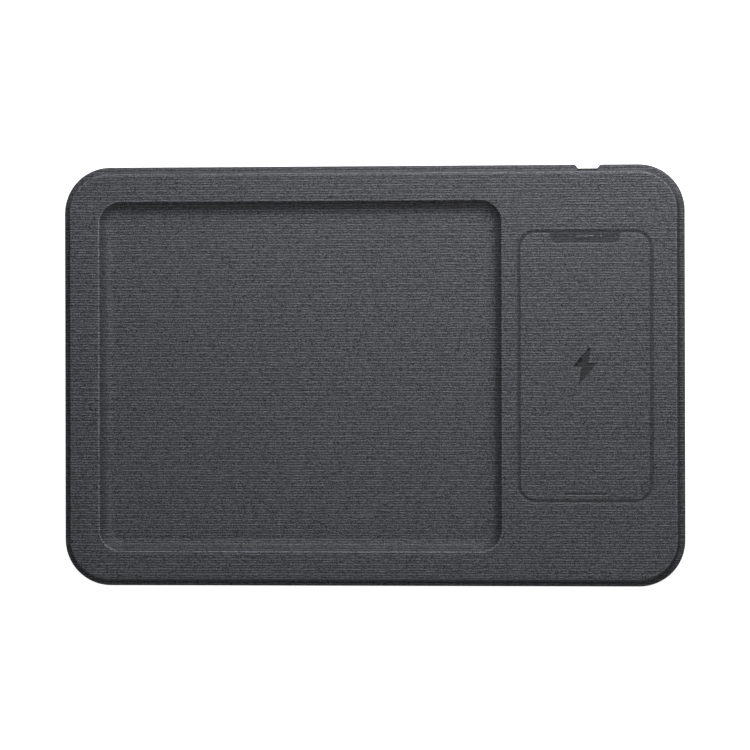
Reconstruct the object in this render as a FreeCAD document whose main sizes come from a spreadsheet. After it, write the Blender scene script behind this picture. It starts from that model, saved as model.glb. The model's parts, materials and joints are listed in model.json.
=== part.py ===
import FreeCAD, Part

import math
import os
import re

import Sketcher

# A flat desk tray with a wireless charging module inside.
#
# The raised body is pressed foam under a leather skin, with a large recess on the left and the
# charging place on the right. It is glued to a thinner, slightly larger base: a board in a leather
# skin of its own, whose rim shows all round. The charger lies in a pocket of the foam.
#
# Frame: millimetres, origin on the desk under the middle of the tray, +X to the charging side,
# +Y to the rear edge with the inlet, +Z up.

DIMENSIONS = (
    # whole tray
    ("pad_length", 331.9, "base rim, left to right"),
    ("pad_depth", 224.0, "base rim, front to rear"),
    ("pad_height", 12.0, "desk to the top surface"),
    ("pad_corner", 24.5, "corner radius of the base rim"),
    ("skin", 1.0, "thickness of the leather"),
    # base
    ("lift", 1.2, "height of the feet"),
    ("board_thick", 1.5, "stiff board in the base"),
    ("rim_round", 1.2, "rounding of the base rim"),
    ("base_margin", 15.0, "base skin turned in over the board, from the rim"),
    ("notch_mouth", 13.5, "plug notch, width at the rim"),
    ("notch_floor", 9.0, "plug notch, width at its inner end"),
    ("notch_round", 0.8, "corner radius at the inner end of the notch"),
    # raised body
    ("inset", 2.6, "rim that shows outside the raised body"),
    ("draft", 10.0, "slope of the outer wall, degrees"),
    ("foot_round", 0.8, "rounding of the body where it meets the base"),
    ("top_round", 1.15, "rounding of the top edge"),
    ("body_margin", 9.0, "top skin turned in under the foam"),
    # recess
    ("tray_length", 215.6, "recess, left to right at the top"),
    ("tray_width", 186.5, "recess, front to rear at the top"),
    ("tray_x", -38.5, "middle of the recess"),
    ("tray_y", -0.15, "middle of the recess"),
    ("tray_depth", 4.8, "depth of the recess"),
    ("tray_corner", 11.5, "corner radius of the recess"),
    ("tray_slope", 30.0, "slope of the recess wall, degrees"),
    ("floor_round", 8.2, "radius between the recess wall and floor"),
    ("lip_round", 1.2, "rounding of the recess lip"),
    # pressed marks
    ("mark_x", 113.35, "middle of the charging place and of the coil"),
    ("mark_y", 4.6, "middle of the charging place and of the coil"),
    ("mark_depth", 0.42, "depth of the pressed marks"),
    ("phone_width", 70.3, "phone outline, middle of the groove"),
    ("phone_length", 142.75, "phone outline, middle of the groove"),
    ("phone_corner", 9.0, "corner radius of the phone outline"),
    ("groove", 1.6, "width of the outline's groove"),
    ("camera_width", 37.3, "camera notch, side to side"),
    ("camera_drop", 7.0, "camera notch, from the outer edge of the groove"),
    ("camera_slant", 1.2, "camera notch, how far each side leans in"),
    ("camera_corner", 2.4, "corner radius of the camera notch"),
    ("flare", 1.4, "radius where the camera notch meets the groove"),
    ("speaker_length", 9.5, "raised bar in the camera notch"),
    ("speaker_width", 0.9, "raised bar in the camera notch"),
    ("speaker_drop", 3.25, "raised bar, from the outer edge of the groove"),
    ("lens_radius", 0.55, "raised dot in the camera notch"),
    ("lens_offset", 8.35, "raised dot, from the middle of the bar"),
    ("home_length", 22.0, "pressed bar at the lower end"),
    ("home_width", 0.8, "pressed bar at the lower end"),
    ("home_rise", 3.9, "pressed bar, above the lower line of the outline"),
    ("bolt_size", 21.2, "height of the lightning bolt"),
    # charging module
    ("case_width", 62.0, "module, side to side"),
    ("case_front", -28.0, "front end of the module"),
    ("case_rear", 106.4, "rear end of the module"),
    ("case_corner", 4.0, "corner radius of the module"),
    ("case_wall", 1.0, "wall and floor of the module"),
    ("lid_thick", 0.9, "lid of the module"),
    ("case_top", 10.3, "top of the lid, above the desk"),
    ("tape", 0.3, "mounting tape"),
    ("gap", 0.3, "clearance round the module, less on top"),
    ("lip_height", 0.8, "locating lip under the lid"),
    ("lip_wall", 0.8, "thickness of the locating lip"),
    ("lip_gap", 0.1, "play of the locating lip"),
    ("tape_inset", 7.0, "mounting tape, from the sides of the module"),
    ("tape_end", 4.0, "mounting tape, from the ends of the module"),
    # case screws
    ("boss_x", 26.6, "screw bosses, from the middle of the module"),
    ("boss_end", 4.4, "screw bosses, from the ends of the module"),
    ("boss_radius", 2.9, "boss of the lower half"),
    ("post_radius", 2.1, "post under the lid"),
    ("boss_top", 6.6, "where boss and post meet, above the desk"),
    ("sink", 1.4, "counterbore for the screw head"),
    ("head_radius", 1.75, "screw head"),
    ("head_height", 1.2, "screw head"),
    ("thread_radius", 0.9, "screw thread"),
    ("case_screw_length", 3.6, "thread of a case screw"),
    ("board_screw_length", 2.0, "thread of a board screw"),
    ("thread_depth", 2.4, "hole for a case screw in its post"),
    ("drive", 1.9, "cross recess, across"),
    ("drive_width", 0.4, "cross recess, width of an arm"),
    # circuit board
    ("pcb_width", 46.0, "circuit board"),
    ("pcb_length", 61.0, "circuit board"),
    ("pcb_thick", 1.0, "circuit board"),
    ("pcb_corner", 1.5, "circuit board"),
    ("pcb_rear", 105.2, "rear edge of the circuit board"),
    ("standoff", 0.8, "height of the posts under the board"),
    ("standoff_radius", 2.2, "posts under the board"),
    ("hole_inset", 3.2, "board holes, from the edges"),
    ("thermal_length", 30.0, "thermal pad under the board"),
    ("thermal_width", 24.0, "thermal pad under the board"),
    # inlet
    ("port_x", 114.6, "middle of the inlet and of the plug notch"),
    ("port_z", 7.6, "middle of the inlet"),
    ("port_front", 108.6, "mouth of the inlet"),
    ("shell_width", 8.94, "USB-C receptacle"),
    ("shell_height", 3.26, "USB-C receptacle"),
    ("shell_length", 7.35, "USB-C receptacle"),
    ("shell_corner", 1.28, "USB-C receptacle"),
    ("shell_wall", 0.3, "USB-C receptacle"),
    ("tongue_width", 6.69, "USB-C tongue"),
    ("tongue_thick", 0.7, "USB-C tongue"),
    ("tongue_recess", 0.9, "tongue, back from the mouth"),
    ("insulator", 1.6, "moulded block behind the tongue"),
    ("contact_pitch", 0.5, "USB-C contacts"),
    ("contact_width", 0.25, "USB-C contacts"),
    ("contact_thick", 0.08, "USB-C contacts"),
    ("contact_length", 3.8, "USB-C contacts"),
    ("bezel_width", 10.6, "frame round the inlet"),
    ("bezel_height", 4.6, "frame round the inlet"),
    ("bezel_thick", 0.6, "frame round the inlet"),
    ("bezel_corner", 1.5, "frame round the inlet"),
    ("neck_width", 10.0, "neck of the frame, through the wall"),
    ("neck_height", 4.1, "neck of the frame, through the wall"),
    ("mouth_width", 9.1, "opening in the frame"),
    ("mouth_height", 3.4, "opening in the frame"),
    # coil
    ("wire_radius", 0.5, "coil wire"),
    ("coil_inner", 10.25, "coil, inner turn to the middle of the wire"),
    ("coil_pitch", 1.15, "coil, turn to turn"),
    ("coil_turns", 10, "turns of the coil"),
    ("coil_lift", 0.05, "varnish under the coil"),
    ("lead_radius", 0.35, "coil leads"),
    ("lead_inner", -1.2, "lead of the inner turn, from the middle"),
    ("lead_outer", 3.0, "lead of the outer turn, from the middle"),
    ("lead_land", 4.0, "end of the leads, in from the front edge of the board"),
    ("lead_stop", 5.0, "where the leads start to rise, before the board"),
    ("lead_rise", 3.0, "run over which the leads rise"),
    ("shield_radius", 25.0, "ferrite disc"),
    ("shield_thick", 0.8, "ferrite disc"),
    ("shield_slot", 4.0, "slot of the disc for the leads"),
    ("slot_start", 6.0, "slot of the disc, from the middle"),
    ("film", 0.1, "adhesive film under the disc"),
    ("seat_radius", 27.0, "coil seat"),
    ("seat_height", 1.9, "coil seat, up to the film"),
    ("seat_rim", 1.1, "rim round the disc, above the seat"),
    ("seat_skin", 0.9, "plate of the coil seat"),
    ("seat_wall", 1.6, "outer wall under the plate"),
    ("seat_hole", 3.4, "radius of the openings in the plate"),
    ("seat_hole_ring", 15.0, "openings, from the middle"),
    ("bead_radius", 1.5, "thermistor"),
    ("bead_height", 1.1, "thermistor"),
    ("bead_lead", 0.15, "radius of a thermistor wire"),
    ("bead_lead_left", 0.2, "thermistor wires, from the middle"),
    ("bead_lead_right", 0.8, "thermistor wires, from the middle"),
    # feet
    ("pad_radius", 6.0, "foot"),
    ("pad_edge", 0.4, "rounding of a foot"),
    ("pad_inset", 24.0, "middle of a foot, from the rim"),
)

# Heights above the desk, written with the cells above.
BOARD_BOTTOM = "lift + skin"
BOARD_TOP = "lift + skin + board_thick"
SEAM = "lift + 2 * skin + board_thick"
CASE_BOTTOM = f"{BOARD_TOP} + tape"
CASE_FLOOR = f"{CASE_BOTTOM} + case_wall"
LID_BOTTOM = "case_top - lid_thick"
PCB_BOTTOM = f"{CASE_FLOOR} + standoff"
PCB_TOP = f"{PCB_BOTTOM} + pcb_thick"
SEAT_TOP = f"{CASE_FLOOR} + seat_height"
SHIELD_BOTTOM = f"{SEAT_TOP} + film"
SHIELD_TOP = f"{SHIELD_BOTTOM} + shield_thick"
COIL_MIDDLE = f"{SHIELD_TOP} + coil_lift + wire_radius"
LEAD_MIDDLE = f"{SHIELD_BOTTOM} + lead_radius + 0.04"

# Outline of the lightning bolt as shares of its height, anticlockwise from the upper point.
BOLT = (
    (0.142, 0.503), (-0.317, -0.010), (-0.069, -0.019), (-0.169, -0.471), (0.297, 0.086), (0.069, 0.086),
)

doc = FreeCAD.newDocument("charging_tray")
sheet = doc.addObject("Spreadsheet::Sheet", "Sizes")
nodes = []


def fill_sheet():
    for row, (alias, number, note) in enumerate(DIMENSIONS, 1):
        sheet.set(f"A{row}", note)
        sheet.set(f"B{row}", str(number))
        sheet.setAlias(f"B{row}", alias)
    doc.recompute()


def cells(text):
    """The expression with each bare alias turned into a reference to its cell."""
    aliases = {alias for alias, _, _ in DIMENSIONS}
    return re.sub(r"[a-z_]+", lambda m: f"Sizes.{m[0]}" if m[0] in aliases else m[0], str(text))


def number(text):
    """What an expression comes to, in millimetres."""
    result = sheet.evalExpression(cells(text))
    return float(getattr(result, "Value", result))


def bind(thing, place, text):
    """Ties a property or a named constraint to cells of the sheet."""
    thing.setExpression(place, cells(text))


def node(thing, label):
    """Names a finished sub-part, which is written to a file of that name."""
    thing.Label = label
    nodes.append(thing)
    return thing


# ---- sketches and features of PartDesign bodies


def new_body(name):
    return doc.addObject("PartDesign::Body", name)


def new_sketch(body, name, at=(0, 0, 0), plane="XY_Plane"):
    """An empty sketch parallel to one of the body's planes, with its origin at a point of the body."""
    sketch = body.newObject("Sketcher::SketchObject", name)
    support = next(feature for feature in body.Origin.OriginFeatures if feature.Role == plane)
    sketch.AttachmentSupport = (support, [""])
    sketch.MapMode = "FlatFace"
    x, y, z = at
    shifts = {"XY_Plane": (x, y, z), "XZ_Plane": (x, z, f"-({y})"), "YZ_Plane": (y, z, x)}
    for axis, shift in zip("xyz", shifts[plane]):
        bind(sketch, f".AttachmentOffset.Base.{axis}", shift)
    return sketch


def add_size(sketch, name, constraint, text):
    """Adds a named constraint whose value is an expression."""
    index = sketch.addConstraint(constraint)
    sketch.renameConstraint(index, name)
    bind(sketch, f"Constraints.{name}", text)


def add_rounded(sketch, width, depth, corner, name="outline"):
    """A rounded rectangle about the sketch's origin."""
    x = number(width) / 2
    y = number(depth) / 2
    r = number(corner)
    first = sketch.GeometryCount
    sides = (
        ((r - x, -y), (x - r, -y)),
        ((x, r - y), (x, y - r)),
        ((x - r, y), (r - x, y)),
        ((-x, y - r), (-x, r - y)),
    )
    for start, end in sides:
        sketch.addGeometry(Part.LineSegment(FreeCAD.Vector(*start, 0), FreeCAD.Vector(*end, 0)))
    for turn, (cx, cy) in enumerate(((x - r, r - y), (x - r, y - r), (r - x, y - r), (r - x, r - y))):
        circle = Part.Circle(FreeCAD.Vector(cx, cy, 0), FreeCAD.Vector(0, 0, 1), r)
        start = math.radians(90 * turn - 90)
        sketch.addGeometry(Part.ArcOfCircle(circle, start, start + math.pi / 2))
    side = [first + i for i in range(4)]
    arc = [first + 4 + i for i in range(4)]
    for i in range(4):
        sketch.addConstraint(Sketcher.Constraint("Tangent", side[i], 2, arc[i], 1))
        sketch.addConstraint(Sketcher.Constraint("Tangent", arc[i], 2, side[(i + 1) % 4], 1))
        sketch.addConstraint(Sketcher.Constraint(("Horizontal", "Vertical")[i % 2], side[i]))
    for other in arc[1:]:
        sketch.addConstraint(Sketcher.Constraint("Equal", arc[0], other))
    sketch.addConstraint(Sketcher.Constraint("Symmetric", arc[0], 3, arc[2], 3, -1, 1))
    across = Sketcher.Constraint("DistanceX", side[3], 1, side[1], 1, 2 * x)
    along = Sketcher.Constraint("DistanceY", side[0], 1, side[2], 1, 2 * y)
    add_size(sketch, f"{name}_width", across, width)
    add_size(sketch, f"{name}_depth", along, depth)
    add_size(sketch, f"{name}_corner", Sketcher.Constraint("Radius", arc[0], r), corner)


def add_circle(sketch, radius, x="0", y="0", name="circle"):
    """A circle, with its middle at a point of the sketch."""
    r = number(radius)
    middle = FreeCAD.Vector(number(x), number(y), 0)
    index = sketch.addGeometry(Part.Circle(middle, FreeCAD.Vector(0, 0, 1), r))
    add_size(sketch, f"{name}_radius", Sketcher.Constraint("Radius", index, r), radius)
    if (x, y) == ("0", "0"):
        sketch.addConstraint(Sketcher.Constraint("Coincident", index, 3, -1, 1))
        return
    add_size(sketch, f"{name}_x", Sketcher.Constraint("DistanceX", -1, 1, index, 3, middle.x), x)
    add_size(sketch, f"{name}_y", Sketcher.Constraint("DistanceY", -1, 1, index, 3, middle.y), y)


def add_polygon(sketch, points):
    """A closed polygon whose corners are pairs of expressions from the sketch's origin."""
    corners = [FreeCAD.Vector(number(x), number(y), 0) for x, y in points]
    count = len(corners)
    for i, corner in enumerate(corners):
        sketch.addGeometry(Part.LineSegment(corner, corners[(i + 1) % count]))
    for i, (x, y) in enumerate(points):
        sketch.addConstraint(Sketcher.Constraint("Coincident", i, 2, (i + 1) % count, 1))
        across = Sketcher.Constraint("DistanceX", -1, 1, i, 1, corners[i].x)
        along = Sketcher.Constraint("DistanceY", -1, 1, i, 1, corners[i].y)
        add_size(sketch, f"corner_{i}_x", across, x)
        add_size(sketch, f"corner_{i}_y", along, y)


def pad(body, sketch, length, taper=None, back=False, both=False):
    feature = body.newObject("PartDesign::Pad", f"{sketch.Name}_pad")
    feature.Profile = sketch
    feature.Reversed = back
    feature.Midplane = both
    bind(feature, "Length", length)
    if taper:
        bind(feature, "TaperAngle", taper)
    return feature


def pocket(body, sketch, depth, taper=None, back=False):
    """Cuts the sketch into the body, and makes sure that something was cut."""
    doc.recompute()
    before = body.Shape.Volume
    feature = body.newObject("PartDesign::Pocket", f"{sketch.Name}_pocket")
    feature.Profile = sketch
    feature.Reversed = back
    bind(feature, "Length", depth)
    if taper:
        bind(feature, "TaperAngle", taper)
    doc.recompute()
    if not body.Shape.Volume < before - 1e-6:
        raise RuntimeError(f"{feature.Name} cuts nothing")
    return feature


def edges_where(body, test):
    """Names of the body's edges that pass a test."""
    doc.recompute()
    return [f"Edge{i}" for i, edge in enumerate(body.Shape.Edges, 1) if test(edge)]


def level_edges(body, height, inside=None):
    """Names of the edges that lie at one height, all of them or those within a distance of a line."""
    z = number(height)

    def passes(edge):
        level = all(abs(vertex.Z - z) < 1e-4 for vertex in edge.Vertexes)
        return level and (inside is None or inside(edge.CenterOfMass))

    return edges_where(body, passes)


def fillet(body, name, edges, radius):
    if not edges:
        raise RuntimeError(f"{name} has no edges")
    base = body.Tip
    feature = body.newObject("PartDesign::Fillet", name)
    feature.Base = (base, edges)
    bind(feature, "Radius", radius)
    doc.recompute()
    return feature


# ---- Part primitives and booleans


def place(thing, x, y, z):
    for axis, text in zip("xyz", (x, y, z)):
        bind(thing, f".Placement.Base.{axis}", text)
    return thing


def block(name, length, width, height, x, y, z):
    """A box with its middle at x, y and its underside at z."""
    box = doc.addObject("Part::Box", name)
    for side, text in (("Length", length), ("Width", width), ("Height", height)):
        bind(box, side, text)
    return place(box, f"{x} - ({length}) / 2", f"{y} - ({width}) / 2", z)


def rod(name, radius, height, x, y, z):
    """An upright cylinder that starts at z."""
    cylinder = doc.addObject("Part::Cylinder", name)
    bind(cylinder, "Radius", radius)
    bind(cylinder, "Height", height)
    return place(cylinder, x, y, z)


def fuse(name, shapes):
    union = doc.addObject("Part::MultiFuse", name)
    union.Shapes = list(shapes)
    return union


def cut(name, base, *tools):
    difference = doc.addObject("Part::Cut", name)
    difference.Base = base
    difference.Tool = tools[0] if len(tools) == 1 else fuse(f"{name}_tools", tools)
    return difference


def group(name, shapes):
    """Separate solids that share one node."""
    compound = doc.addObject("Part::Compound", name)
    compound.Links = list(shapes)
    return compound


def chamfer(name, base, amount):
    """Breaks every edge of the top of a part."""
    doc.recompute()
    top = base.Shape.BoundBox.ZMax
    edges = [
        (i, amount, amount)
        for i, edge in enumerate(base.Shape.Edges, 1)
        if all(abs(vertex.Z - top) < 1e-6 for vertex in edge.Vertexes)
    ]
    feature = doc.addObject("Part::Chamfer", name)
    feature.Base = base
    feature.Edges = edges
    return feature


# ---- the two leather skins, the foam and the base


def notch_points(wrap):
    """The plug notch, open at the rim, moved outwards by wrap on its three sides."""
    slope = "(notch_mouth - notch_floor) / (2 * inset)"
    reach = f"{wrap} * sqrt(1 + ({slope}) * ({slope}))"
    beyond = "2"
    floor_half = f"notch_floor / 2 + {reach} - {wrap} * {slope}"
    mouth_half = f"notch_mouth / 2 + {reach} + {beyond} * {slope}"
    floor_y = f"pad_depth / 2 - inset - {wrap}"
    mouth_y = f"pad_depth / 2 + {beyond}"
    return (
        (f"port_x - ({floor_half})", floor_y),
        (f"port_x + ({floor_half})", floor_y),
        (f"port_x + ({mouth_half})", mouth_y),
        (f"port_x - ({mouth_half})", mouth_y),
    )


def make_slab(name, shrink, bottom, thick):
    """A flat body with the outline of the base rim, drawn in by shrink."""
    body = new_body(name)
    sketch = new_sketch(body, f"{name}_outline", (0, 0, bottom))
    corner = f"pad_corner - ({shrink})" if number(shrink) < number("pad_corner") - 2 else "2"
    add_rounded(sketch, f"pad_length - 2 * ({shrink})", f"pad_depth - 2 * ({shrink})", corner)
    pad(body, sketch, thick)
    return body


def cut_notch(body, wrap, bottom, thick):
    """Cuts the plug notch out of a slab, with its inner corners rounded."""
    sketch = new_sketch(body, f"{body.Name}_notch", (0, 0, f"{bottom} + {thick}"))
    add_polygon(sketch, notch_points(wrap))
    pocket(body, sketch, f"{thick} + 1")
    floor_y = number(f"pad_depth / 2 - inset - {wrap}")

    def inner_corner(edge):
        upright = len(edge.Vertexes) == 2 and edge.BoundBox.ZLength > number(thick) / 2
        middle = edge.CenterOfMass
        beside = abs(middle.x - number("port_x")) < number("notch_mouth")
        return upright and beside and abs(middle.y - floor_y) < 1e-3

    fillet(body, f"{body.Name}_notch_round", edges_where(body, inner_corner), "notch_round")


def make_base():
    """Board, skin and filler of the base, and the shape that the charger takes out of them."""
    rim = "2 * skin + board_thick"
    form = make_slab("base_form", "0", "lift", rim)
    faces = level_edges(form, "lift") + level_edges(form, f"lift + {rim}")
    fillet(form, "base_form_rim", faces, "rim_round")
    cut_notch(form, "0", "lift", rim)
    board = make_slab("base_board", "skin", BOARD_BOTTOM, "board_thick")
    cut_notch(board, "skin", BOARD_BOTTOM, "board_thick")
    card = make_slab("card_form", "base_margin", BOARD_TOP, "skin")
    node(board, "base_board")
    node(cut("base_cover", form, board, card, charger_space), "base_cover")
    node(cut("filler_card", card, charger_space), "filler_card")


def make_charger_space():
    """The room that foam, skins and card leave for the module."""
    length = "case_rear - case_front + 2 * gap"
    middle = "(case_rear + case_front) / 2"
    height = f"case_top + gap / 3 - ({BOARD_TOP})"
    return block("charger_space", "case_width + 2 * gap", length, height, "mark_x", middle, BOARD_TOP)


def make_port_hole():
    """The way for the neck of the bezel through foam and skin."""
    size = ("neck_width + gap / 3", "8", "neck_height + gap / 3")
    return block("port_hole", *size, "port_x", "port_front", "port_z - (neck_height + gap / 3) / 2")


def in_recess(point):
    """Whether a point is in or over the recess."""
    across = abs(point.x - number("tray_x")) < number("tray_length") / 2 + 1
    return across and abs(point.y - number("tray_y")) < number("tray_width") / 2 + 1


def sink_tray(body, depth_in, lip):
    """Presses the recess into a body whose top is depth_in below the tray's, and rounds it."""
    shift = f"({depth_in}) / cos(tray_slope * 1deg) - ({depth_in}) * tan(tray_slope * 1deg)"
    top = f"pad_height - ({depth_in})"
    sketch = new_sketch(body, f"{body.Name}_recess", ("tray_x", "tray_y", top))
    width = f"tray_length + 2 * ({shift})"
    depth = f"tray_width + 2 * ({shift})"
    add_rounded(sketch, width, depth, f"tray_corner + {shift}")
    pocket(body, sketch, "tray_depth", "-tray_slope")
    floor = level_edges(body, f"{top} - tray_depth", in_recess)
    fillet(body, f"{body.Name}_floor_round", floor, f"floor_round + {depth_in}")
    fillet(body, f"{body.Name}_lip_round", level_edges(body, top, in_recess), lip)


def make_top_form():
    """The raised body as its skin's outer surface has it."""
    body = new_body("top_form")
    sketch = new_sketch(body, "top_form_outline", (0, 0, SEAM))
    add_rounded(sketch, "pad_length - 2 * inset", "pad_depth - 2 * inset", "pad_corner - inset")
    pad(body, sketch, f"pad_height - ({SEAM})", "-draft")
    fillet(body, "top_form_foot", level_edges(body, SEAM), "foot_round")
    fillet(body, "top_form_edge", level_edges(body, "pad_height"), "top_round")
    sink_tray(body, "0", "lip_round")
    press_phone(body)
    press_bolt(body)
    return body


def press_phone(body):
    """Phone outline, camera notch with its raised bar and dot, and the bar at the lower end."""
    top = "pad_height"
    line = new_sketch(body, "phone_groove", ("mark_x", "mark_y", top))
    half = "groove / 2"
    add_rounded(line, "phone_width + groove", "phone_length + groove", f"phone_corner + {half}", "outer")
    add_rounded(line, "phone_width - groove", "phone_length - groove", f"phone_corner - {half}", "inner")
    pocket(body, line, "mark_depth")
    edge_y = f"mark_y + phone_length / 2 + {half}"
    camera = new_sketch(body, "camera_notch", ("mark_x", f"{edge_y} - camera_drop / 2", top))
    add_polygon(
        camera,
        (
            ("camera_slant - camera_width / 2", "-camera_drop / 2"),
            ("camera_width / 2 - camera_slant", "-camera_drop / 2"),
            ("camera_width / 2", "camera_drop / 2"),
            ("-camera_width / 2", "camera_drop / 2"),
        ),
    )
    pocket(body, camera, "mark_depth")

    def notch_corner(distance):
        """Picks the two upright edges of the notch at a distance in from the groove's outer edge."""
        corner_y = number(f"{edge_y} - {distance}")

        def passes(edge):
            upright = len(edge.Vertexes) == 2 and abs(edge.BoundBox.ZLength - number("mark_depth")) < 1e-4
            middle = edge.CenterOfMass
            side = number("camera_width / 2") - abs(middle.x - number("mark_x"))
            return upright and -0.1 < side < number("camera_slant") + 0.1 and abs(middle.y - corner_y) < 0.01

        return passes

    fillet(body, "camera_flare", edges_where(body, notch_corner("groove")), "flare")
    fillet(body, "camera_round", edges_where(body, notch_corner("camera_drop")), "camera_corner")
    floor = "pad_height - mark_depth"
    bar_y = f"{edge_y} - speaker_drop"
    speaker = new_sketch(body, "speaker_bar", ("mark_x", bar_y, floor))
    add_rounded(speaker, "speaker_length", "speaker_width", "0.48 * speaker_width")
    pad(body, speaker, "0.6 * mark_depth")
    lens = new_sketch(body, "lens_dot", ("mark_x + lens_offset", bar_y, floor))
    add_circle(lens, "lens_radius")
    pad(body, lens, "0.6 * mark_depth")
    home_y = "mark_y - phone_length / 2 + home_rise"
    home = new_sketch(body, "home_bar", ("mark_x", home_y, top))
    add_rounded(home, "home_length", "home_width", "0.48 * home_width")
    pocket(body, home, "mark_depth")


def press_bolt(body):
    bolt = new_sketch(body, "bolt", ("mark_x", "mark_y", "pad_height"))
    add_polygon(bolt, [(f"{x} * bolt_size", f"{y} * bolt_size") for x, y in BOLT])
    pocket(body, bolt, "mark_depth")


def make_core_form():
    """The foam before its pocket: the raised body less the thickness of the skin all round."""
    body = new_body("core_form")
    plug = new_sketch(body, "core_plug", (0, 0, SEAM))
    shrink = "inset + body_margin"
    corner = "pad_corner - inset - body_margin"
    add_rounded(plug, f"pad_length - 2 * ({shrink})", f"pad_depth - 2 * ({shrink})", corner)
    pad(body, plug, "skin")
    outline = new_sketch(body, "core_outline", (0, 0, f"{SEAM} + skin"))
    shrink = "inset + skin / cos(draft * 1deg) + skin * tan(draft * 1deg)"
    corner = f"pad_corner - ({shrink})"
    add_rounded(outline, f"pad_length - 2 * ({shrink})", f"pad_depth - 2 * ({shrink})", corner)
    pad(body, outline, f"pad_height - 2 * skin - ({SEAM})", "-draft")
    fillet(body, "core_edge", level_edges(body, "pad_height - skin"), "top_round - skin")
    sink_tray(body, "skin", "lip_round - skin")
    return body


def make_raised_body():
    core = make_core_form()
    top = make_top_form()
    node(cut("top_cover", top, core, charger_space, port_hole), "top_cover")
    node(cut("tray_core", core, charger_space, port_hole), "tray_core")


def make_feet():
    far_x = "pad_length / 2 - pad_inset"
    far_y = "pad_depth / 2 - pad_inset"
    for row, y in (("front", f"-({far_y})"), ("rear", far_y)):
        for side, x in (("left", f"-({far_x})"), ("middle", "0"), ("right", far_x)):
            name = f"foot_{row}_{side}"
            body = new_body(name)
            sketch = new_sketch(body, f"{name}_outline")
            add_circle(sketch, "pad_radius")
            pad(body, sketch, "lift")
            fillet(body, f"{name}_round", level_edges(body, "0"), "pad_edge")
            place(body, x, y, "0")
            node(body, name)


# ---- the module's housing


def boss_places():
    """Middles of the four case screws."""
    for y in ("case_front + boss_end", "case_rear - boss_end"):
        for side in ("-", "+"):
            yield f"mark_x {side} boss_x", y


def standoff_places():
    """Middles of the four board holes."""
    for y in ("pcb_rear - pcb_length + hole_inset", "pcb_rear - hole_inset"):
        for side in ("-", "+"):
            yield f"mark_x {side} (pcb_width / 2 - hole_inset)", y


def circles(body, name, places, radius, z):
    """One sketch with a circle of the same size at each place, z being its height."""
    sketch = new_sketch(body, name, (0, 0, z))
    for i, (x, y) in enumerate(places):
        add_circle(sketch, radius, x, y, f"circle_{i}")
    return sketch


def make_case_base():
    body = new_body("charger_case_base")
    middle = ("mark_x", "(case_front + case_rear) / 2")
    depth = "case_rear - case_front"
    outline = new_sketch(body, "case_outline", (*middle, CASE_BOTTOM))
    add_rounded(outline, "case_width", depth, "case_corner")
    pad(body, outline, f"{LID_BOTTOM} - ({CASE_BOTTOM})")
    room = new_sketch(body, "case_room", (*middle, LID_BOTTOM))
    add_rounded(room, "case_width - 2 * case_wall", f"{depth} - 2 * case_wall", "case_corner - case_wall")
    pocket(body, room, f"{LID_BOTTOM} - ({CASE_FLOOR})")
    bosses = circles(body, "case_bosses", boss_places(), "boss_radius", CASE_FLOOR)
    pad(body, bosses, f"boss_top - ({CASE_FLOOR})")
    posts = circles(body, "case_standoffs", standoff_places(), "standoff_radius", CASE_FLOOR)
    pad(body, posts, "standoff")
    sinks = circles(body, "case_sinks", boss_places(), "head_radius + 0.15", CASE_BOTTOM)
    pocket(body, sinks, "sink", back=True)
    ways = circles(body, "case_ways", boss_places(), "thread_radius + 0.15", "boss_top")
    pocket(body, ways, f"boss_top - ({CASE_BOTTOM})")
    holes = circles(body, "case_threads", standoff_places(), "thread_radius", PCB_BOTTOM)
    pocket(body, holes, "standoff + 0.6 * case_wall")
    slot = new_sketch(body, "case_port", ("port_x", "case_rear", "port_z"), "XZ_Plane")
    add_rounded(slot, "mouth_width", "mouth_height", "0.4 * mouth_height")
    pocket(body, slot, "2 * case_wall", back=True)
    node(body, "charger_case_base")


def make_case_lid():
    body = new_body("charger_case_lid")
    middle = ("mark_x", "(case_front + case_rear) / 2")
    depth = "case_rear - case_front"
    outline = new_sketch(body, "lid_outline", (*middle, LID_BOTTOM))
    add_rounded(outline, "case_width", depth, "case_corner")
    pad(body, outline, "lid_thick")
    lip = new_sketch(body, "lid_lip", (*middle, LID_BOTTOM))
    for name, shrink in (("outer", "case_wall + lip_gap"), ("inner", "case_wall + lip_gap + lip_wall")):
        sides = (f"case_width - 2 * ({shrink})", f"{depth} - 2 * ({shrink})")
        add_rounded(lip, *sides, f"case_corner - ({shrink})", name)
    pad(body, lip, "lip_height", back=True)
    posts = circles(body, "lid_posts", boss_places(), "post_radius", LID_BOTTOM)
    pad(body, posts, f"{LID_BOTTOM} - boss_top", back=True)
    holes = circles(body, "lid_threads", boss_places(), "thread_radius", "boss_top")
    pocket(body, holes, "thread_depth", back=True)
    lip_y = "case_rear - case_wall - lip_gap - lip_wall / 2"
    gap = new_sketch(body, "lid_port", ("port_x", lip_y, LID_BOTTOM))
    add_rounded(gap, "mouth_width + 2", "2 * lip_wall", "0.3")
    pocket(body, gap, "lip_height")
    node(body, "charger_case_lid")


def make_screw(name, x, y, seat, length, up):
    """A pan-head screw with its head's underside at seat, pointing up or down."""
    head_z = f"{seat} - head_height" if up else seat
    thread_z = seat if up else f"{seat} - ({length})"
    head = rod(f"{name}_head", "head_radius", "head_height", x, y, head_z)
    thread = rod(f"{name}_thread", "thread_radius", length, x, y, thread_z)
    recess = "0.6 * head_height"
    recess_z = head_z if up else f"{seat} + head_height - {recess}"
    arms = [
        block(f"{name}_arm_{i}", *sides, recess, x, y, recess_z)
        for i, sides in enumerate((("drive", "drive_width"), ("drive_width", "drive")))
    ]
    return cut(name, fuse(f"{name}_blank", (head, thread)), *arms)


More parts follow.
